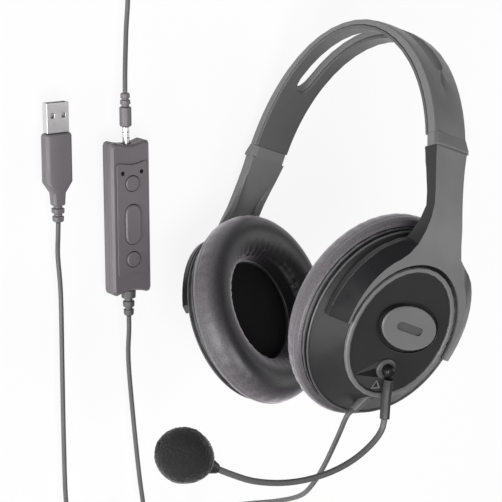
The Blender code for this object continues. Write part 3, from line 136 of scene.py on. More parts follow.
def between(a: Vector, b: Vector, c: Vector, d: Vector, t: float) -> Vector:
    """Point of a smooth curve between its second and third of four points.

    Args:
        a: The point before.
        b: The point where the stretch starts.
        c: The point where it ends.
        d: The point after.
        t: Share of the stretch.

    Returns:
        The point at that share.
    """
    return 0.5 * (2 * b + (c - a) * t + (2 * a - 5 * b + 4 * c - d) * t ** 2
                  + (3 * b - a - 3 * c + d) * t ** 3)


def plug(tree: Tree, node: bpy.types.Node, values: dict[str | int, object]) -> None:
    """Set some inputs of a node.

    Args:
        tree: The nodes that it belongs to.
        node: The node.
        values: The inputs by name or number, each a plain value or a socket to link.
    """
    for name, value in values.items():
        if isinstance(value, Socket):
            tree.links.new(value, node.inputs[name])
        else:
            node.inputs[name].default_value = value


def wired(tree: Tree, kind: str, output: str, values: dict[str | int, object], **settings: str) -> Socket:
    """Add a shader node and wire it.

    Args:
        tree: The nodes to add it to.
        kind: The node's type, without Blender's prefix.
        output: The name of the output that is wanted.
        values: The inputs, as for plug.
        settings: The node's own settings.

    Returns:
        The output's socket.
    """
    node = tree.nodes.new(f"ShaderNode{kind}")
    for name, value in settings.items():
        setattr(node, name, value)
    plug(tree, node, values)
    return node.outputs[output]


def larger(tree: Tree, first: Socket, second: Socket) -> Socket:
    """The larger of two sockets."""
    return wired(tree, "Math", "Value", {0: first, 1: second}, operation="MAXIMUM")


@dataclass(frozen=True)
class Finish:
    """One finish: colour, shine and the fine surface under it."""

    name: str
    colour: Point
    roughness: float
    grain: Grain = Grain.MOULDED
    metallic: float = 0.0
    pitch: float = 0.0006
    depth: float = 0.00002
    mottle: float = 0.05
    sheen: float = 0.0
    specular: float = 0.5
    # Lighter colour that a pad's own attribute lays on its flank: a painted highlight.
    panel: Point | None = None

    def material(self) -> bpy.types.Material:
        """Build the node material, or return it if it is there already.

        Returns:
            The material with its texture, roughness and bump nodes.
        """
        made = bpy.data.materials.get(self.name)
        if made is not None:
            return made
        made = bpy.data.materials.new(self.name)
        made.use_nodes = True
        tree = made.node_tree
        place = tree.nodes.new("ShaderNodeTexCoord").outputs["Object"]
        height = self._height(tree, place)
        plug(tree, tree.nodes["Principled BSDF"], {
            "Base Color": self._colour(tree, place, height),
            "Metallic": self.metallic,
            "Roughness": self._shine(tree, place),
            "Normal": wired(tree, "Bump", "Normal", {
                "Strength": BUMP_STRENGTH, "Distance": self.depth, "Height": height}),
            "Specular IOR Level": self.specular,
            "Sheen Weight": self.sheen,
            "Sheen Roughness": SHEEN_ROUGHNESS,
            "Sheen Tint": SHEEN_TINT,
        })
        return made

    def _height(self, tree: Tree, place: Socket) -> Socket:
        """Height of the fine surface.

        Args:
            tree: The material's nodes.
            place: Object coordinates.

        Returns:
            A socket that is low in the pits and high on the tops.
        """
        scale = 1.0 / self.pitch
        if self.grain is Grain.LEATHER:
            edges = wired(tree, "TexVoronoi", "Distance", {"Vector": place, "Scale": scale},
                          feature="DISTANCE_TO_EDGE")
            return wired(tree, "MapRange", "Result", {"Value": edges, "From Max": CREASE_WIDTH})
        if self.grain is Grain.FOAM:
            return wired(tree, "TexVoronoi", "Distance", {"Vector": place, "Scale": scale})
        if self.grain is Grain.WOVEN:
            threads = {"Vector": place, "Scale": scale * math.tau / WAVE_TURN}
            return larger(tree, *(wired(tree, "TexWave", "Fac", threads, bands_direction=way)
                                  for way in "XY"))
        if self.grain is Grain.BRUSHED:
            place = wired(tree, "Mapping", "Vector", {"Vector": place, "Scale": BRUSH_STRETCH})
        return wired(tree, "TexNoise", "Fac", {"Vector": place, "Scale": scale, "Detail": GRAIN_DETAIL})

    def _colour(self, tree: Tree, place: Socket, height: Socket) -> Socket:
        """Colour with slow mottling, darker in the pits of leather, weave and foam.

        A lighter flank colour, a painted highlight for the sheen on a pad's flank, comes in where the
        piece's own attribute says so.

        Args:
            tree: The material's nodes.
            place: Object coordinates.
            height: The fine surface's height.

        Returns:
            The colour socket.
        """
        ramp = tree.nodes.new("ShaderNodeValToRGB")
        for end, side in zip(ramp.color_ramp.elements, (-1.0, 1.0)):
            end.color = (*(level * (1.0 + side * self.mottle) for level in self.colour), 1.0)
            end.position = 0.5 + side * MOTTLE_SPREAD
        plug(tree, ramp, {"Fac": wired(tree, "TexNoise", "Fac", {
            "Vector": place, "Scale": MOTTLE_SCALE, "Detail": MOTTLE_DETAIL})})
        colour = ramp.outputs["Color"]
        if self.grain in (Grain.MOULDED, Grain.BRUSHED):
            return colour
        if self.panel is not None:
            share = wired(tree, "Attribute", "Fac", {}, attribute_name=FLANK_HIGHLIGHT)
            colour = wired(tree, "MixRGB", "Color", {
                "Fac": share, "Color1": colour, "Color2": (*self.panel, 1.0)})
        pits = wired(tree, "MapRange", "Result", {"Value": height, "To Min": PIT_SHADE})
        return wired(tree, "MixRGB", "Color", {"Fac": 1.0, "Color1": colour, "Color2": pits},
                     blend_type="MULTIPLY")

    def _shine(self, tree: Tree, place: Socket) -> Socket:
        """Roughness with the slight unevenness of handled plastic.

        Args:
            tree: The material's nodes.
            place: Object coordinates.

        Returns:
            The roughness socket.
        """
        wear = wired(tree, "TexNoise", "Fac", {"Vector": place, "Scale": WEAR_SCALE, "Detail": WEAR_DETAIL})
        return wired(tree, "MapRange", "Result", {
            "Value": wear, "From Min": WEAR_RANGE[0], "From Max": WEAR_RANGE[1],
            "To Min": max(self.roughness - WEAR_SPREAD, WEAR_SPREAD),
            "To Max": min(self.roughness + WEAR_SPREAD, 1.0)})


FINISHES: dict[str, Finish] = {
    "arm": Finish("satin_arm_grey", (0.136, 0.136, 0.138), 0.42, pitch=0.0004, depth=0.000012),
    "trim": Finish("satin_trim_grey", (0.138, 0.138, 0.140), 0.36, pitch=0.0004, depth=0.000010),
    "liner": Finish("satin_liner_grey", (0.082, 0.082, 0.084), 0.38, pitch=0.0004, depth=0.000012),
    "plate": Finish("polished_black", (0.024, 0.024, 0.025), 0.16, pitch=0.0009, depth=0.000004),
    "shell": Finish("matt_charcoal", (0.019, 0.019, 0.020), 0.40, pitch=0.0004, depth=0.000018,
                    specular=0.38),
    "rim": Finish("satin_rim_grey", (0.080, 0.080, 0.082), 0.30, pitch=0.0004, depth=0.000010),
    "flank": Finish("dark_flank", (0.010, 0.010, 0.011), 0.30, pitch=0.0005, depth=0.000008,
                    specular=0.28),
    # The leatherette's lighter flank colour is a painted highlight for the sheen on the pads' flanks.
    "leatherette": Finish("dark_leatherette", (0.022, 0.020, 0.022), 0.40, Grain.LEATHER, pitch=0.0011,
                          depth=0.00003, mottle=0.10, sheen=0.8, panel=(0.112, 0.104, 0.113)),
    "cloth": Finish("speaker_weave", (0.010, 0.010, 0.011), 0.95, Grain.WOVEN, pitch=0.0006,
                    depth=0.0001, mottle=0.12, specular=0.1),
    "steel": Finish("brushed_steel", (0.560, 0.560, 0.580), 0.30, Grain.BRUSHED, metallic=1.0,
                    pitch=0.0005, depth=0.000006),
    "foam": Finish("open_foam", (0.026, 0.026, 0.026), 0.95, Grain.FOAM, pitch=0.0008, depth=0.00025,
                   mottle=0.15, sheen=0.40, specular=0.1),
    "rubber": Finish("soft_black_cord", (0.085, 0.084, 0.086), 0.46, pitch=0.0005, depth=0.00002),
    "case": Finish("fine_case_grey", (0.125, 0.115, 0.124), 0.42, pitch=0.0004, depth=0.000014),
    "nickel": Finish("plated_nickel", (0.720, 0.705, 0.715), 0.34, Grain.BRUSHED, metallic=1.0,
                     pitch=0.0006, depth=0.000004),
    "board": Finish("green_board", (0.020, 0.110, 0.045), 0.50, pitch=0.0012, depth=0.00002, mottle=0.2),
    "lens": Finish("dark_lens", (0.012, 0.012, 0.013), 0.15, pitch=0.0008, depth=0.000003),
    # Greyer than its white carrier: painted shade for the tongue inside the plug's shell.
    "tongue": Finish("contact_white", (0.420, 0.420, 0.410), 0.42, pitch=0.0005, depth=0.00001),
    "sector": Finish("matt_sector", (0.040, 0.040, 0.041), 0.40, pitch=0.0005, depth=0.00001),
    "groove": Finish("pin_insulator", (0.030, 0.030, 0.030), 0.40, pitch=0.0005, depth=0.00001),
}


class Bench:
    """Small modelling steps that several pieces share."""

    @staticmethod
    def deselect() -> None:
        """Leave nothing selected, in object mode."""
        for thing in bpy.context.selected_objects:
            thing.select_set(False)

    @staticmethod
    def take(piece: Piece) -> None:
        """Make one piece the only selected and active one.

        Args:
            piece: The piece.
        """
        Bench.deselect()
        bpy.context.view_layer.objects.active = piece
        piece.select_set(True)

    @staticmethod
    def fresh(name: str) -> Piece:
        """Name the object that an operator has just made, and its mesh.

        Args:
            name: Their name.

        Returns:
            The object.
        """
        piece = bpy.context.active_object
        piece.name = name
        piece.data.name = name
        return piece

    @staticmethod
    @contextmanager
    def editing(piece: Piece) -> Iterator[None]:
        """Edit mode with all of a piece selected, and object mode again at the end.

        Args:
            piece: The piece.

        Yields:
            Nothing, while edit mode is on.
        """
        Bench.take(piece)
        bpy.ops.object.mode_set(mode="EDIT")
        bpy.ops.mesh.select_all(action="SELECT")
        yield
        bpy.ops.object.mode_set(mode="OBJECT")

    @staticmethod
    def spots(piece: Piece) -> np.ndarray:
        """Places of a mesh's points, one row each."""
        return np.array([vertex.co for vertex in piece.data.vertices])

    @staticmethod
    def settle(piece: Piece, place: Matrix) -> None:
        """Put a piece's place into its mesh, so that its object sits at the origin.

        Args:
            piece: The piece, still where its operator made it.
            place: Where the mesh goes in the part's frame.
        """
        piece.data.transform(place @ piece.matrix_basis)
        piece.matrix_basis = Matrix.Identity(4)

    @staticmethod
    def apply(piece: Piece) -> None:
        """Apply all modifiers of a piece in order."""
        Bench.take(piece)
        for modifier in list(piece.modifiers):
            bpy.ops.object.modifier_apply(modifier=modifier.name)

    @staticmethod
    def smooth(piece: Piece, angle: float = PLAIN_ANGLE) -> None:
        """Shade a piece smooth up to an angle."""
        Bench.take(piece)
        bpy.ops.object.shade_smooth_by_angle(angle=math.radians(angle))

    @staticmethod
    def dress(piece: Piece, slot: str, body: str, finish: str | None = None) -> None:
        """Give a new piece its finish, which is its record slot's unless it has one of its own, and the body
        it moves with.

        Args:
            piece: The finished piece.
            slot: The record's material slot.
            body: The body that it rides on.
            finish: A finish of its own, if it isn't the slot's.
        """
        piece.data.materials.clear()
        piece.data.materials.append(FINISHES[finish or slot].material())
        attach(piece, body)

    @staticmethod
    def paint(piece: Piece, cup: CupFrame, finish: str, test: Callable[[Vector, Vector], bool]) -> None:
        """Give some faces of a piece a finish of their own.

        Args:
            piece: The piece.
            cup: The frame in which the faces are tested.
            finish: The finish's name.
            test: Takes a face's direction and middle in that frame.
        """
        piece.data.materials.append(FINISHES[finish].material())
        into = cup.place.inverted()
        turn = into.to_3x3()
        for face in piece.data.polygons:
            if test(turn @ face.normal, into @ face.center):
                face.material_index = len(piece.data.materials) - 1


@dataclass(frozen=True)
class CupFrame:
    """Place of an ear cup: first axis along the head, second up the cup, third outward."""

    place: Matrix

    @classmethod
    def found(cls, side: Side, joints: dict[str, dict], nodes: dict[str, Piece],
              ring_depth: float = 0.0022) -> CupFrame:
        """Read a cup's place from its trim ring and from the hinge that it tilts on.

        Args:
            side: The cup's side.
            joints: The frame's joints by name.
            nodes: The frame's nodes by name.
            ring_depth: Depth of the trim ring, whose outer face is the cup's zero.

        Returns:
            The cup's frame.
        """
        spots = Bench.spots(nodes[f"{side}_trim_ring"])
        middle = spots.mean(axis=0)
        flat = np.linalg.svd(spots - middle, full_matrices=False)[2]
        out = Vector(flat[2])
        disc = Bench.spots(nodes[f"{side}_badge_disc"]).mean(axis=0)
        baffle = Bench.spots(nodes[f"{side}_baffle"]).mean(axis=0)
        if out.dot(Vector(disc - baffle)) < 0.0:
            out.negate()
        along = Vector(joints[f"{side}_tilt"]["axis"]) * (1.0 if side is Side.LEFT else -1.0)
        along = (along - out * along.dot(out)).normalized()
        turn = Matrix((along, out.cross(along), out)).transposed().to_4x4()
        turn.translation = Vector(middle) + out * ring_depth / 2.0
        return cls(turn)


@dataclass
class EarCushion:
    """Gathered leatherette ring on an ear cup; half sizes run along the head and up the cup.

    Gathers and seams are rows round the ring: a share of the section's loop, a spread and
    a strength. Drifts and the swell are waves round it, with a size, a count and a start.
    """

    side: Side
    cup: CupFrame
    outer: Pair = (0.0424, 0.0502)
    hole: Pair = (0.0244, 0.0275)
    seat: float = -0.0176
    deep: float = 0.0165
    columns: int = 192
    rows: int = 48
    section: tuple[Pair, ...] = (
        (0.834, 0.0), (0.985, 0.16), (1.0, 0.38), (0.95, 0.66), (0.80, 0.90),
        (0.56, 1.0), (0.30, 0.93), (0.08, 0.70), (0.0, 0.40), (0.05, 0.0))
    probe: float = 0.01
    pleats: int = 44
    pleat_depth: float = 0.0008
    pleat_power: float = 1.6
    drifts: tuple[Point, ...] = ((0.9, 3.0, 0.7), (0.6, 7.0, 2.1))
    swell: Point = (0.35, 5.0, 1.3)
    gathers: tuple[Point, ...] = ((0.70, 0.075, 1.0), (0.24, 0.085, 0.75))
    seam_depth: float = 0.0006
    seams: tuple[Point, ...] = ((0.735, 0.012, 1.0), (0.155, 0.012, 0.8))
    # Shares of the section's loop where the painted flank highlight is whole and where it ends.
    panel_ends: Pair = (0.22, 0.46)

    def outline(self, t: float) -> Vector:
        """Point of the pad's section, smooth round its whole loop.

        Args:
            t: Share of the loop, from the outer foot over the crown to the inner foot.

        Returns:
            Share of the width from the hole outward, and share of the depth.
        """
        count = len(self.section)
        at = t * count
        i = int(at) % count
        near = (Vector(self.section[(i + k) % count]) for k in (-1, 0, 1, 2))
        return between(*near, at - int(at))

    @staticmethod
    def strength(t: float, rows: tuple[Point, ...]) -> float:
        """How strongly some rows round the ring act at a share of the section's loop."""
        return sum(share * math.exp(-((t - at) / spread) ** 2) for at, spread, share in rows)

    def sink(self, t: float, angle: float) -> float:
        """How far the cover is drawn in by its gathers and its seams.

        Args:
            t: Share of the section's loop.
            angle: Angle round the ring, in radians.

        Returns:
            Depth in metres, inward.
        """
        drift = sum(size * math.sin(waves * angle + start) for size, waves, start in self.drifts)
        fold = abs(math.sin(self.pleats * angle / 2.0 + drift))
        size, waves, start = self.swell
        crease = (1.0 - fold) ** self.pleat_power * (1.0 - size + size * math.sin(waves * angle + start))
        return (self.pleat_depth * crease * self.strength(t, self.gathers)
                + self.seam_depth * self.strength(t, self.seams))

    def shape(self, pad: Piece) -> None:
        """Move the points of a torus onto the gathered section.

        Args:
            pad: The torus, with one row of points after the other round each section.
        """
        width = (self.outer[0] - self.hole[0], self.outer[1] - self.hole[1])
        for i in range(self.columns):
            angle = math.tau * i / self.columns
            for j in range(self.rows):
                t = j / self.rows
                across, down = self.outline(t)
                slope = self.outline((t + self.probe) % 1.0) - self.outline((t - self.probe) % 1.0)
                way = Vector((slope.y * self.deep, -slope.x * width[0])).normalized()
                sink = self.sink(t, angle)
                reach = across - way.x * sink / width[0]
                half = (self.hole[0] + width[0] * reach, self.hole[1] + width[1] * reach)
                depth = self.seat - self.deep * down + way.y * sink
                pad.data.vertices[i * self.rows + j].co = (
                    half[0] * math.cos(angle), half[1] * math.sin(angle), depth)

    def mark_panel(self, pad: Piece) -> None:
        """Store how far each point takes the lighter flank colour, a painted highlight, from 1 at the foot
        to 0.

        Args:
            pad: The shaped torus.
        """
        whole, none = self.panel_ends
        row = np.clip((none - np.arange(self.rows) / self.rows) / (none - whole), 0.0, 1.0)
        share = pad.data.attributes.new(FLANK_HIGHLIGHT, "FLOAT", "POINT")
        share.data.foreach_set("value", np.tile(eased(row), self.columns))

    def build(self) -> Piece:
        """Model the pad from a torus, drawn out to the section and gathered.

        Returns:
            The pad, riding on its cup.
        """
        Bench.deselect()
        bpy.ops.mesh.primitive_torus_add(major_segments=self.columns, minor_segments=self.rows)
        pad = Bench.fresh(f"{self.side}_gathered_cushion")
        self.shape(pad)
        self.mark_panel(pad)
        Bench.settle(pad, self.cup.place)
        with Bench.editing(pad):
            bpy.ops.mesh.normals_make_consistent(inside=False)
        Bench.smooth(pad, PAD_ANGLE)
        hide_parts(f"{self.side}_ear_cushion")
        Bench.dress(pad, "leatherette", f"{self.side}_cup")
        return pad


@dataclass
class SpeakerCloth:
    """Thin cloth stretched over the driver inside a cushion's hole."""

    side: Side
    cup: CupFrame
    half: Pair = (0.0234, 0.0265)
    level: float = -0.0180
    belly: float = 0.0008
    rings: int = 14
    segments: int = 96

    def build(self) -> Piece:
        """Model the cloth from a filled circle, inset into rings and bellied towards the ear.

        Returns:
            The cloth, riding on its cup.
        """
        Bench.deselect()
        bpy.ops.mesh.primitive_circle_add(vertices=self.segments, radius=1.0, fill_type="NGON")
        cloth = Bench.fresh(f"{self.side}_stretched_cloth")
        with Bench.editing(cloth):
            for _ in range(self.rings - 1):
                bpy.ops.mesh.inset(thickness=1.0 / self.rings, depth=0.0)
            bpy.ops.mesh.poke()
        for vertex in cloth.data.vertices:
            x, y, _ = vertex.co
            swell = self.belly * max(1.0 - x * x - y * y, 0.0)
            vertex.co = (x * self.half[0], -y * self.half[1], self.level - swell)
        Bench.settle(cloth, self.cup.place)
        cloth.data.flip_normals()
        Bench.smooth(cloth, PAD_ANGLE)
        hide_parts(f"{self.side}_ear_cloth")
        Bench.dress(cloth, "cloth", f"{self.side}_cup")
        return cloth


@dataclass
class MicFoam:
    """Foam ball over the microphone: an uneven skin, narrower and dimpled at its holder."""

    nodes: dict[str, Piece]
    long_half: float = 0.0135
    round_half: float = 0.0124
    taper: float = 0.12
    segments: int = 96
    rings: int = 64
    seed: int = 11
    roughness: float = 0.00010
    lump: float = 0.5
    lump_waves: tuple[float, float, float, float] = (9.0, 4.0, 8.0, 5.0)
    dimple: float = 0.0016
    dimple_radius: float = 0.0052

    def build(self) -> Piece:
        """Model the foam from a sphere, drawn to the solid's axis.

        Returns:
            The foam, riding on the boom.
        """
        spots = Bench.spots(self.nodes["mic_windscreen"])
        middle = Vector((spots.min(axis=0) + spots.max(axis=0)) / 2.0)
        axis = (middle - Vector(Bench.spots(self.nodes["mic_holder"]).mean(axis=0))).normalized()
        Bench.deselect()
        bpy.ops.mesh.primitive_uv_sphere_add(segments=self.segments, ring_count=self.rings, radius=1.0)
        foam = Bench.fresh("mic_foam_ball")
        draw = np.random.default_rng(self.seed)
        a, b, c, d = self.lump_waves
        for vertex in foam.data.vertices:
            way = Vector(vertex.co)
            lump = self.lump * math.sin(a * way.x + b * way.y) * math.sin(c * way.y - d * way.z)
            skin = 1.0 + (draw.normal(0.0, 1.0) + lump) * self.roughness / self.round_half
            wide = self.round_half * (1.0 + self.taper * min(way.z, 0.0))
            spot = Vector((way.x * wide, way.y * wide, way.z * self.long_half)) * skin
            radius = math.hypot(spot.x, spot.y)
            if way.z < 0.0 and radius < self.dimple_radius:
                spot.z += self.dimple * (1.0 - (radius / self.dimple_radius) ** 2)
            vertex.co = spot
        turn = axis.to_track_quat("Z", "Y").to_matrix().to_4x4()
        Bench.settle(foam, Matrix.Translation(middle) @ turn)
        Bench.smooth(foam, ROUND_ANGLE)
        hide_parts("mic_windscreen")
        Bench.dress(foam, "foam", "boom")
        return foam


@dataclass(frozen=True)
class CoilPlan:
    """Spare length of a cord: two layers that spiral in, climb and spiral out again."""

    centre: Pair
    start: float
    way: Winding
    turns: float
    climb: float = 0.5
    radius: float = 0.0195
    step: float = 0.0029
    pinch: float = 0.3
    base: float = 0.0025
    points: int = 24

    def route(self, straight: float) -> Loop:
        """Points along the coil.

        Args:
            straight: Length of the straight stretch at each end.

        Returns:
            The points from the outside of the lower layer to the outside of the upper one.
        """
        inner = self.radius - self.step * self.turns
        total = 2.0 * self.turns + self.climb
        count = round(total * self.points)
        way = self.way.value
        first = math.radians(self.start)
        route = []
        for i in range(count + 1):
            turn = total * i / count
            rising = min(max((turn - self.turns) / self.climb, 0.0), 1.0)
            radius = max(self.radius - self.step * turn, inner, self.radius - self.step * (total - turn))
            radius -= self.step * self.pinch * math.sin(math.pi * rising)
            angle = first + way * math.tau * turn
            route.append(Vector((self.centre[0] + radius * math.cos(angle),
                                 self.centre[1] + radius * math.sin(angle),
                                 self.base + self.step * eased(rising))))
        last = first + way * math.tau * total
        heads = [Vector((-math.sin(a), math.cos(a), 0.0)) * way for a in (first, last)]
        return [route[0] - heads[0] * straight, *route, route[-1] + heads[1] * straight]


@dataclass
class Cord:
    """One cord from end to end, along the routes that the part's source gives it."""

    name: str
    exit: Point
    before: tuple[Point, ...]
    coil: CoilPlan
    after: tuple[Point, ...]
    end: Point
    stands_for: tuple[str, ...]
    pieces: tuple[str, ...]
    far_end: str
    radius: float = 0.0012
    rounding: int = 4
    steps: int = 4

    def smooth(self, points: Loop) -> Loop:
        """Points on a smooth curve through the given ones.

        Args:
            points: The points to pass.

        Returns:
            The finer points.
        """
        padded = [2 * points[0] - points[1], *points, 2 * points[-1] - points[-2]]
        curve = [between(*padded[i - 1:i + 3], step / self.steps)
                 for i in range(1, len(padded) - 2) for step in range(self.steps)]
        return [*curve, points[-1]]

    def build(self, shown: dict[str, Piece]) -> Piece:
        """Args:
            shown: The pieces that show for the nodes, some of which are on the cord; not used.

        Returns:
            The cord, riding on the left cup.
        """
        wound = self.coil.route(self.radius * 2.0)
        lead = self.smooth([Vector(point) for point in (self.exit, *self.before)] + [wound[0]])
        tail = self.smooth([wound[-1]] + [Vector(point) for point in (*self.after, self.end)])
        route = lead[:-1] + wound + tail[1:]
        curve = bpy.data.curves.new(self.name, "CURVE")
        curve.dimensions = "3D"
        curve.bevel_depth = self.radius
        curve.bevel_resolution = self.rounding
        curve.use_fill_caps = True
        spline = curve.splines.new("POLY")
        spline.points.add(len(route) - 1)
        for spot, point in zip(spline.points, route):
            spot.co = (*point, 1.0)
        spline.use_smooth = True
        cord = bpy.data.objects.new(self.name, curve)
        bpy.context.scene.collection.objects.link(cord)
        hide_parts(*self.stands_for)
        Bench.dress(cord, "rubber", "left_cup")
        return cord


@dataclass
class MouldedParts:
    """Hard parts with the small round edges of moulded plastic and pressed metal.

    Turns are the outward share of a face's direction, and levels are heights in a cup's frame.
    """

    nodes: dict[str, Piece]
    slots: dict[str, str]
    bodies: dict[str, str]
    cups: dict[Side, CupFrame]
    seams: dict[str, Vector]
    edge: float = 0.00035
    fine_edge: float = 0.00018
    segments: int = 2
    angle: float = 32.0
    merge: float = 0.000005
    flat_angle: float = 0.6
    soft: tuple[str, ...] = (
        "left_arm", "right_arm", "headband_outer", "headband_liner", "controller_top_case",
        "controller_bottom_case", "usb_plug_boot",
    )
    crisp: tuple[str, ...] = (
        "left_collar", "right_collar", "boom_sleeve", "boom_gooseneck", "jack_pin", "left_trim_ring",
        "right_trim_ring", "left_badge_disc", "right_badge_disc", "left_outer_plate",
        "right_outer_plate", "left_baffle", "right_baffle", "left_cup_shell", "right_cup_shell",
        "boom_hub", "mic_holder", "cord_gland", "controller_face_panel", "mute_button", "lower_button",
        "volume_rocker", "controller_strain_relief", "jack_plug_body", "usb_plug_shell",
        "headset_coil_tie", "usb_coil_tie",
    )
    seam: float = 0.00024
    flank_turn: Pair = (0.60, 0.93)
    edge_turn: Pair = (-0.4, 0.22)
    stem_side: float = 0.6
    yoke_top: float = 0.041
    join_from: float = 0.031
    join_half: float = 0.012
    join_turn: float = 0.85
    disc_edge_turn: float = 0.5
    level_turn: float = 0.9
    slot_level: float = 0.0011
    dome_level: float = 0.0006
    sector_levels: Pair = (-0.0016, -0.0010)
    special: dict[str, str] = field(default_factory=lambda: {
        "left_baffle": "rim", "right_baffle": "rim", "boom_hub": "rim", "headband_liner": "liner",
        "usb_plug_boot": "case", "jack_plug_body": "case"})

    def rounded(self, name: str, width: float) -> Piece:
        """Copy a node, merge it, clean its flat faces and round its edges.

        Args:
            name: The node's name.
            width: Width of the rounded edge.

        Returns:
            The new piece, which stands for the node.
        """
        Bench.take(self.nodes[name])
        bpy.ops.object.duplicate()
        piece = Bench.fresh(f"{name}_moulded")
        for key in [key for key in piece.keys() if key.startswith("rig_")]:
            del piece[key]
        piece.parent = None
        with Bench.editing(piece):
            bpy.ops.mesh.remove_doubles(threshold=self.merge)
            bpy.ops.mesh.dissolve_limited(angle_limit=math.radians(self.flat_angle))
        if name in self.seams:
            self.close_seams(piece, self.seams[name])
        bevel = piece.modifiers.new("edge", "BEVEL")
        bevel.width = width
        bevel.segments = self.segments
        bevel.limit_method = "ANGLE"
        bevel.angle_limit = math.radians(self.angle)
        Bench.apply(piece)
        Bench.smooth(piece)
        even = piece.modifiers.new("even", "WEIGHTED_NORMAL")
        even.keep_sharp = True
        Bench.apply(piece)
        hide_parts(name)
        Bench.dress(piece, self.slots[name], self.bodies[name], self.special.get(name))
        return piece

    def close_seams(self, collar: Piece, axis: Vector) -> None:
        """Draw a collar's ends out along the band, so that only fine seams show.

        Args:
            collar: The collar's piece.
            axis: The band's direction there.
        """
        along = np.array([vertex.co.dot(axis) for vertex in collar.data.vertices])
        middle = (along.min() + along.max()) / 2.0
        half = (along.max() - along.min()) / 2.0
        for vertex, at in zip(collar.data.vertices, along):
            vertex.co += axis * (self.seam * (at - middle) / half)

    def on_flank(self, way: Vector, spot: Vector) -> bool:
        """Whether a face of an arm is on the slanted wall of its yoke or on the yoke's outer edge.

        Args:
            way: The face's direction in the cup's frame.
            spot: Its middle there.

        Returns:
            True on those faces, and where the wall runs into the stem.
        """
        if spot.y >= self.yoke_top or way.xy.dot(spot.xy) <= 0.0:
            return False
        slanted = self.flank_turn[0] < way.z < self.flank_turn[1]
        joining = spot.y > self.join_from and abs(spot.x) > self.join_half and way.z < self.join_turn
        return slanted or joining or self.edge_turn[0] < way.z < self.edge_turn[1]

    def on_stem_side(self, way: Vector, spot: Vector) -> bool:
        """Whether a face of an arm is on a side of its stem, where the left arm gets painted shade."""
        return spot.y >= self.yoke_top and abs(way.x) > self.stem_side

    def two_tone(self, shown: dict[str, Piece]) -> None:
        """Paint the yokes' walls; the left stem's sides and the discs' edges and slots, as painted shade;
        and the boom's seat.

        Args:
            shown: The piece that shows for each node's name.
        """
        for side, cup in self.cups.items():
            Bench.paint(shown[f"{side}_arm"], cup, "flank", self.on_flank)
            disc = shown[f"{side}_badge_disc"]
            # The disc's and slot's walls in black and the slot's floor in darker grey are painted shade in
            # the recesses.
            Bench.paint(disc, cup, "plate", lambda way, spot: way.z < self.disc_edge_turn)
            Bench.paint(disc, cup, "rim",
                        lambda way, spot: way.z > self.level_turn and spot.z < self.slot_level)
        cup = self.cups[Side.LEFT]
        low, high = self.sector_levels
        # The left stem's sides take the shell's charcoal: painted shade, which the right stem doesn't get.
        Bench.paint(shown["left_arm"], cup, "shell", self.on_stem_side)
        Bench.paint(shown["left_outer_plate"], cup, "sector",
                    lambda way, spot: way.z > self.level_turn and low < spot.z < high)
        Bench.paint(shown["boom_hub"], cup, "flank", lambda way, spot: spot.z > self.dome_level)

    def build(self) -> dict[str, Piece]:
        """Round the edges of the parts that show, and dress all the other nodes as they are.

        Returns:
            The piece that shows for each node's name.
        """
        shown = dict(self.nodes)
        for name, node in self.nodes.items():
            node.data.materials.clear()
            node.data.materials.append(FINISHES[self.special.get(name, self.slots[name])].material())
        for names, width in ((self.soft, self.edge), (self.crisp, self.fine_edge)):
            for name in names:
                shown[name] = self.rounded(name, width)
        self.two_tone(shown)
        return shown


@dataclass(frozen=True)
class Bead:
    """One thin ring round a cup: its level in the cup's frame, and its reach past the rim."""

    name: str
    finish: str
    level: float
    reach: float
    radius: float


@dataclass
class RimBeads:
    """Pale bead on a shell's rim and two dark rings in the gaps behind it, all oval; the bead's lighter
    colour is a painted highlight line and the dark rings are painted shade.
    """

    side: Side
    cup: CupFrame
    half: Pair = (0.0400, 0.0455)
    beads: tuple[Bead, ...] = (
        # Lighter bead on the shell's edge: a painted highlight line.
        Bead("rim_highlight_bead", "rim", -0.0131, 0.0, 0.00048),
        # Dark rings in the gaps: painted shade.
        Bead("rim_groove_shade", "flank", -0.01535, 0.0002, 0.00042),
        Bead("cushion_groove_shade", "flank", -0.01745, 0.0005, 0.00042),
    )
    columns: int = 192
    rows: int = 10

    def ring(self, bead: Bead) -> Piece:
        """Model one bead from a torus drawn out to the cup's oval.

        Args:
            bead: The bead's sizes.

        Returns:
            The bead, riding on its cup.
        """
        Bench.deselect()
        bpy.ops.mesh.primitive_torus_add(major_segments=self.columns, minor_segments=self.rows)
        ring = Bench.fresh(f"{self.side}_{bead.name}")
        for index, vertex in enumerate(ring.data.vertices):
            angle = math.tau * (index // self.rows) / self.columns
            turn = math.tau * (index % self.rows) / self.rows
            reach = bead.reach + bead.radius * math.cos(turn)
            vertex.co = ((self.half[0] + reach) * math.cos(angle),
                         (self.half[1] + reach) * math.sin(angle),
                         bead.level + bead.radius * math.sin(turn))
        Bench.settle(ring, self.cup.place)
        Bench.smooth(ring, ROUND_ANGLE)
        Bench.dress(ring, "shell", f"{self.side}_cup", bead.finish)
        return ring

    def build(self) -> list[Piece]:
        """Model all the beads of the cup."""
        return [self.ring(bead) for bead in self.beads]


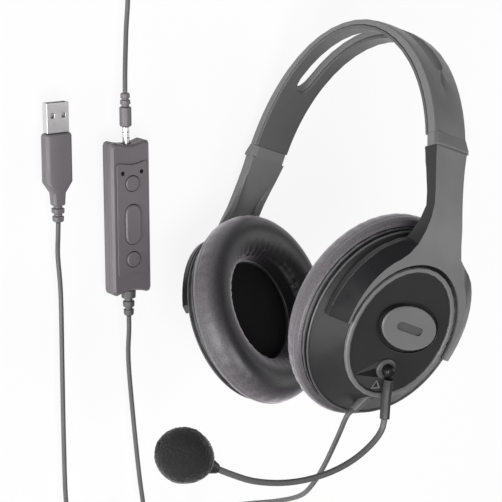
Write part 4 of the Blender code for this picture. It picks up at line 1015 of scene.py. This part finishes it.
@dataclass
class SmallDetails:
    """Marks, a painted shadow and rings that are too fine for the solids.

    The shadow wedge's corners are distances from the hub's middle and angles round it, and the
    bands' places are shares of the jack pin's length.
    """

    cup: CupFrame
    nodes: dict[str, Piece]
    mark_at: Point = (0.0015, -0.0269, -0.0011)
    mark_radius: float = 0.0030
    mark_thick: float = 0.0006
    mark_edge: float = 0.00018
    mark_rim: float = 0.0005
    mark_sink: float = 0.0003
    mark_turn: float = 22.0
    ramp_corners: tuple[Pair, ...] = ((0.0158, 209.5), (0.0050, 262.0), (0.0050, 200.0))
    ramp_levels: Pair = (-0.00145, -0.00118)
    ramp_edge: float = 0.00006
    edge_segments: int = 2
    bands: tuple[float, ...] = (0.625, 0.825)
    band_radius: float = 0.00172
    band_wire: float = 0.00016
    band_segments: tuple[int, int] = (48, 10)

    def stop_mark(self) -> Piece:
        """Small arrowhead beside the boom's hub, with a raised pale rim.

        Returns:
            The mark, riding on the left cup.
        """
        Bench.deselect()
        bpy.ops.mesh.primitive_cylinder_add(vertices=3, radius=self.mark_radius, depth=self.mark_thick)
        mark = Bench.fresh("boom_stop_mark")
        with Bench.editing(mark):
            bpy.ops.mesh.bevel(offset=self.mark_edge, segments=self.edge_segments)
            bpy.ops.mesh.select_all(action="DESELECT")
        top = max(mark.data.polygons, key=lambda face: face.center.z)
        top.select = True
        bpy.ops.object.mode_set(mode="EDIT")
        bpy.ops.mesh.inset(thickness=self.mark_rim, depth=-self.mark_sink)
        bpy.ops.object.mode_set(mode="OBJECT")
        sunk = [face.index for face in mark.data.polygons if face.select]
        turn = Matrix.Rotation(math.radians(self.mark_turn), 4, "Z")
        Bench.settle(mark, self.cup.place @ Matrix.Translation(self.mark_at) @ turn)
        Bench.smooth(mark)
        Bench.dress(mark, "trim", "left_cup")
        mark.data.materials.append(FINISHES["plate"].material())
        for index in sunk:
            mark.data.polygons[index].material_index = 1
        return mark

    def hub_ramp(self) -> Piece:
        """Black wedge, painted shadow under the sector's wall, that runs from the rim of the boom's sector
        to its hub.

        Returns:
            The wedge, riding on the left cup.
        """
        into = self.cup.place.inverted()
        spots = np.array([into @ vertex.co for vertex in self.nodes["boom_hub"].data.vertices])
        middle = (spots.min(axis=0) + spots.max(axis=0)) / 2.0
        Bench.deselect()
        bpy.ops.mesh.primitive_cylinder_add(vertices=len(self.ramp_corners), radius=1.0, depth=1.0)
        ramp = Bench.fresh("boom_sector_shadow")
        for index, vertex in enumerate(ramp.data.vertices):
            reach, angle = self.ramp_corners[index // 2]
            turn = math.radians(angle)
            vertex.co = (middle[0] + reach * math.cos(turn), middle[1] + reach * math.sin(turn),
                         self.ramp_levels[index % 2])
        with Bench.editing(ramp):
            bpy.ops.mesh.normals_make_consistent(inside=False)
            bpy.ops.mesh.bevel(offset=self.ramp_edge, segments=self.edge_segments)
        Bench.settle(ramp, self.cup.place)
        Bench.smooth(ramp)
        # Dark finish on the wedge: painted shadow.
        Bench.dress(ramp, "plate", "left_cup", "flank")
        return ramp

    def pin_bands(self) -> list[Piece]:
        """Dark insulating rings round the bare stretch of the jack's pin.

        Returns:
            The rings, riding on the left cup.
        """
        pin = Bench.spots(self.nodes["jack_pin"])
        centre = Vector(pin.mean(axis=0))
        axis = Vector(Bench.spots(self.nodes["jack_plug_body"]).mean(axis=0)) - centre
        axis.z = 0.0
        axis.normalize()
        along = (pin - np.array(centre)) @ np.array(axis)
        centre.z = (pin[:, 2].min() + pin[:, 2].max()) / 2.0
        turn = axis.to_track_quat("Z", "Y").to_matrix().to_4x4()
        rings = []
        for number, share in enumerate(self.bands, start=1):
            Bench.deselect()
            bpy.ops.mesh.primitive_torus_add(
                major_segments=self.band_segments[0], minor_segments=self.band_segments[1],
                major_radius=self.band_radius, minor_radius=self.band_wire)
            ring = Bench.fresh(f"jack_pin_band_{number}")
            at = along.min() + (along.max() - along.min()) * share
            Bench.settle(ring, Matrix.Translation(centre + axis * at) @ turn)
            Bench.smooth(ring, ROUND_ANGLE)
            Bench.dress(ring, "rubber", "left_cup", "groove")
            rings.append(ring)
        return rings

    def build(self) -> list[Piece]:
        """Model the mark, the painted shadow wedge and the rings."""
        return [self.stop_mark(), self.hub_ramp(), *self.pin_bands()]


@dataclass(frozen=True)
class Lamp:
    """One round soft lamp that points at the frame's origin; power in watts."""

    name: str
    place: Point
    size: float
    power: float


@dataclass
class Studio:
    """White table, soft light and the photograph's camera, whose lens and sensor are in millimetres."""

    eye: Point = (-0.012319, -0.517864, 0.746963)
    right: Point = (-0.291509, 0.767719, 0.570639)
    up: Point = (-0.956173, -0.216727, -0.196881)
    back: Point = (-0.027477, -0.603022, 0.797251)
    lens: float = 126.213
    sensor: float = 36.0
    clip: Pair = (0.01, 50.0)
    floor_size: float = 30.0
    floor_level: float = -0.0078
    floor_colour: Point = (0.86, 0.86, 0.86)
    floor_share: float = 0.88
    lamps: tuple[Lamp, ...] = (
        Lamp("key", (0.40, -0.45, 1.30), 0.8, 14.0),
        Lamp("front", (0.55, -1.10, 0.28), 0.8, 15.0),
        Lamp("rear", (-0.50, 1.00, 1.00), 1.2, 7.0),
    )
    glow: float = 0.17

    def camera(self) -> Piece:
        """Camera at the photograph's place, with its roll and lens.

        Returns:
            The scene's camera.
        """
        data = bpy.data.cameras.new("photo_camera")
        data.lens = self.lens
        data.sensor_width = self.sensor
        data.clip_start, data.clip_end = self.clip
        camera = bpy.data.objects.new("photo_camera", data)
        bpy.context.scene.collection.objects.link(camera)
        turn = Matrix((Vector(self.right), Vector(self.up), Vector(self.back))).transposed().to_4x4()
        turn.translation = Vector(self.eye)
        camera.matrix_world = turn
        bpy.context.scene.camera = camera
        return camera

    @staticmethod
    def seen(tree: Tree) -> Socket:
        """1 on rays from the camera, in reflections and through glass.

        Args:
            tree: The table's nodes.

        Returns:
            The socket to mix by.
        """
        rays = tree.nodes.new("ShaderNodeLightPath").outputs
        mirrored = larger(tree, rays["Is Camera Ray"], rays["Is Glossy Ray"])
        return larger(tree, mirrored, rays["Is Transmission Ray"])

    def floor(self) -> Piece:
        """Pale table that keeps the object's shadow, as low as the slid-out arms reach.

        Returns:
            The table, marked as stage.
        """
        Bench.deselect()
        bpy.ops.mesh.primitive_plane_add(size=self.floor_size, location=(0.0, 0.0, self.floor_level))
        floor = Bench.fresh("white_table")
        paint = bpy.data.materials.new("white_table")
        paint.use_nodes = True
        tree = paint.node_tree
        tree.nodes.clear()
        share = wired(tree, "Math", "Value", {0: self.seen(tree), 1: self.floor_share}, operation="MULTIPLY")
        mixed = wired(tree, "MixShader", "Shader", {
            "Fac": share, 1: wired(tree, "BsdfDiffuse", "BSDF", {"Color": (*self.floor_colour, 1.0)}),
            2: wired(tree, "Emission", "Emission", {"Color": WHITE})})
        plug(tree, tree.nodes.new("ShaderNodeOutputMaterial"), {"Surface": mixed})
        floor.data.materials.append(paint)
        return floor

    def light(self) -> None:
        """Soft lamps round the table and a plain grey sky."""
        for lamp in self.lamps:
            data = bpy.data.lights.new(lamp.name, "AREA")
            data.shape = "DISK"
            data.size = lamp.size
            data.energy = lamp.power
            hung = bpy.data.objects.new(lamp.name, data)
            bpy.context.scene.collection.objects.link(hung)
            hung.location = lamp.place
            hung.rotation_mode = "QUATERNION"
            hung.rotation_quaternion = Vector(lamp.place).to_track_quat("Z", "Y")
        world = bpy.data.worlds.new("grey_sky")
        bpy.context.scene.world = world
        world.use_nodes = True
        tree = world.node_tree
        plug(tree, tree.nodes["Background"], {"Color": WHITE, "Strength": self.glow})

    def build(self) -> None:
        """Set the camera, the table and the light, and show colours as they are written."""
        self.camera()
        self.floor()
        self.light()
        bpy.context.scene.view_settings.view_transform = "Standard"


HEADSET_CORD = Cord(
    "headset_cord", (0.06637, 0.02547, 0.13923),
    before=(
        (0.0702, 0.02351, 0.13834), (0.0813, 0.0259, 0.1339), (0.0976, 0.0288, 0.1272),
        (0.1105, 0.0333, 0.1170), (0.1184, 0.0398, 0.1030), (0.1270, 0.0460, 0.0810),
        (0.1350, 0.0505, 0.0580), (0.1440, 0.0540, 0.0350), (0.1560, 0.0564, 0.0150),
        (0.1720, 0.0574, 0.0042), (0.1810, 0.0575, 0.0025)),
    coil=CoilPlan((0.1900, 0.0770), -90.0, Winding.ANTICLOCKWISE, 1.75),
    after=(
        (0.2010, 0.0570, 0.0042), (0.2120, 0.0520, 0.0020), (0.2190, 0.0400, 0.0012),
        (0.2210, 0.0140, 0.0012), (0.2190, -0.0140, 0.0012), (0.2130, -0.0390, 0.0012),
        (0.1990, -0.0580, 0.0012), (0.1720, -0.0705, 0.0012), (0.1100, -0.0885, 0.0012),
        (0.0480, -0.1090, 0.0012), (-0.0120, -0.1290, 0.0012), (-0.0650, -0.1460, 0.0012),
        (-0.0960, -0.1450, 0.0012), (-0.1140, -0.1300, 0.0012), (-0.1190, -0.1080, 0.0012),
        (-0.1120, -0.0870, 0.0012), (-0.0960, -0.0740, 0.0012), (-0.0740, -0.0672, 0.0016),
        (-0.0560, -0.0630, 0.0042)),
    end=(-0.04529, -0.05991, 0.0053),
    stands_for=("headset_cord_drop", "headset_cord_coil", "headset_cord_run"),
    pieces=("headset_coil_tie", "jack_plug_body", "jack_pin"), far_end="plug")

USB_CORD = Cord(
    "usb_cord", (0.06175, -0.01925, 0.0053),
    before=(
        (0.0690, -0.0160, 0.0044), (0.0840, -0.0094, 0.0018), (0.1100, 0.0030, 0.0012),
        (0.1400, 0.0177, 0.0012), (0.1560, 0.0262, 0.0012), (0.1680, 0.0324, 0.0017),
        (0.1780, 0.0350, 0.0025)),
    coil=CoilPlan((0.1860, 0.0155), 90.0, Winding.CLOCKWISE, 1.463),
    after=(
        (0.1870, -0.0075, 0.0040), (0.1760, -0.0130, 0.0018), (0.1613, -0.0208, 0.0012),
        (0.1300, -0.0330, 0.0012), (0.0950, -0.0460, 0.0012), (0.0600, -0.0590, 0.0012),
        (0.0420, -0.0672, 0.0016), (0.0320, -0.0716, 0.0034)),
    end=(0.02555, -0.07404, 0.0040),
    stands_for=("usb_cord_lead", "usb_cord_coil", "usb_cord_tail"),
    pieces=("usb_coil_tie", "usb_plug_boot", "usb_plug_shell", "usb_plug_tongue"), far_end="plug")


def report(*pieces: Piece) -> None:
    """Log the name of each piece that is ready."""
    for piece in pieces:
        LOG.info("%s is ready", piece.name)


def main() -> None:
    """Build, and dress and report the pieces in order."""
    logging.basicConfig(level=logging.INFO, format="%(name)s: %(message)s")
    for thing in list(bpy.data.objects):
        bpy.data.objects.remove(thing, do_unlink=True)
    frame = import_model()
    nodes = frame["nodes"]
    record = frame["record"]
    joints = {joint["name"]: joint for joint in frame["joints"]}
    slots = {part["node"]: part["material_slot"] for part in record["subparts"]}
    bodies = {node: body for body, members in record["behaviour"]["bodies"].items() for node in members}
    Studio().build()
    cups = {side: CupFrame.found(side, joints, nodes) for side in Side}
    seams = {f"{side}_collar": Vector(joints[f"{side}_slide"]["axis"]) for side in Side}
    shown = MouldedParts(nodes, slots, bodies, cups, seams).build()
    report(*shown.values())
    for plan in (HEADSET_CORD, USB_CORD):
        report(plan.build(shown))
    for side, cup in cups.items():
        report(EarCushion(side, cup).build(), SpeakerCloth(side, cup).build(), *RimBeads(side, cup).build())
    report(MicFoam(nodes).build(), *SmallDetails(cups[Side.LEFT], nodes).build())


if __name__ == "__main__":
    main()
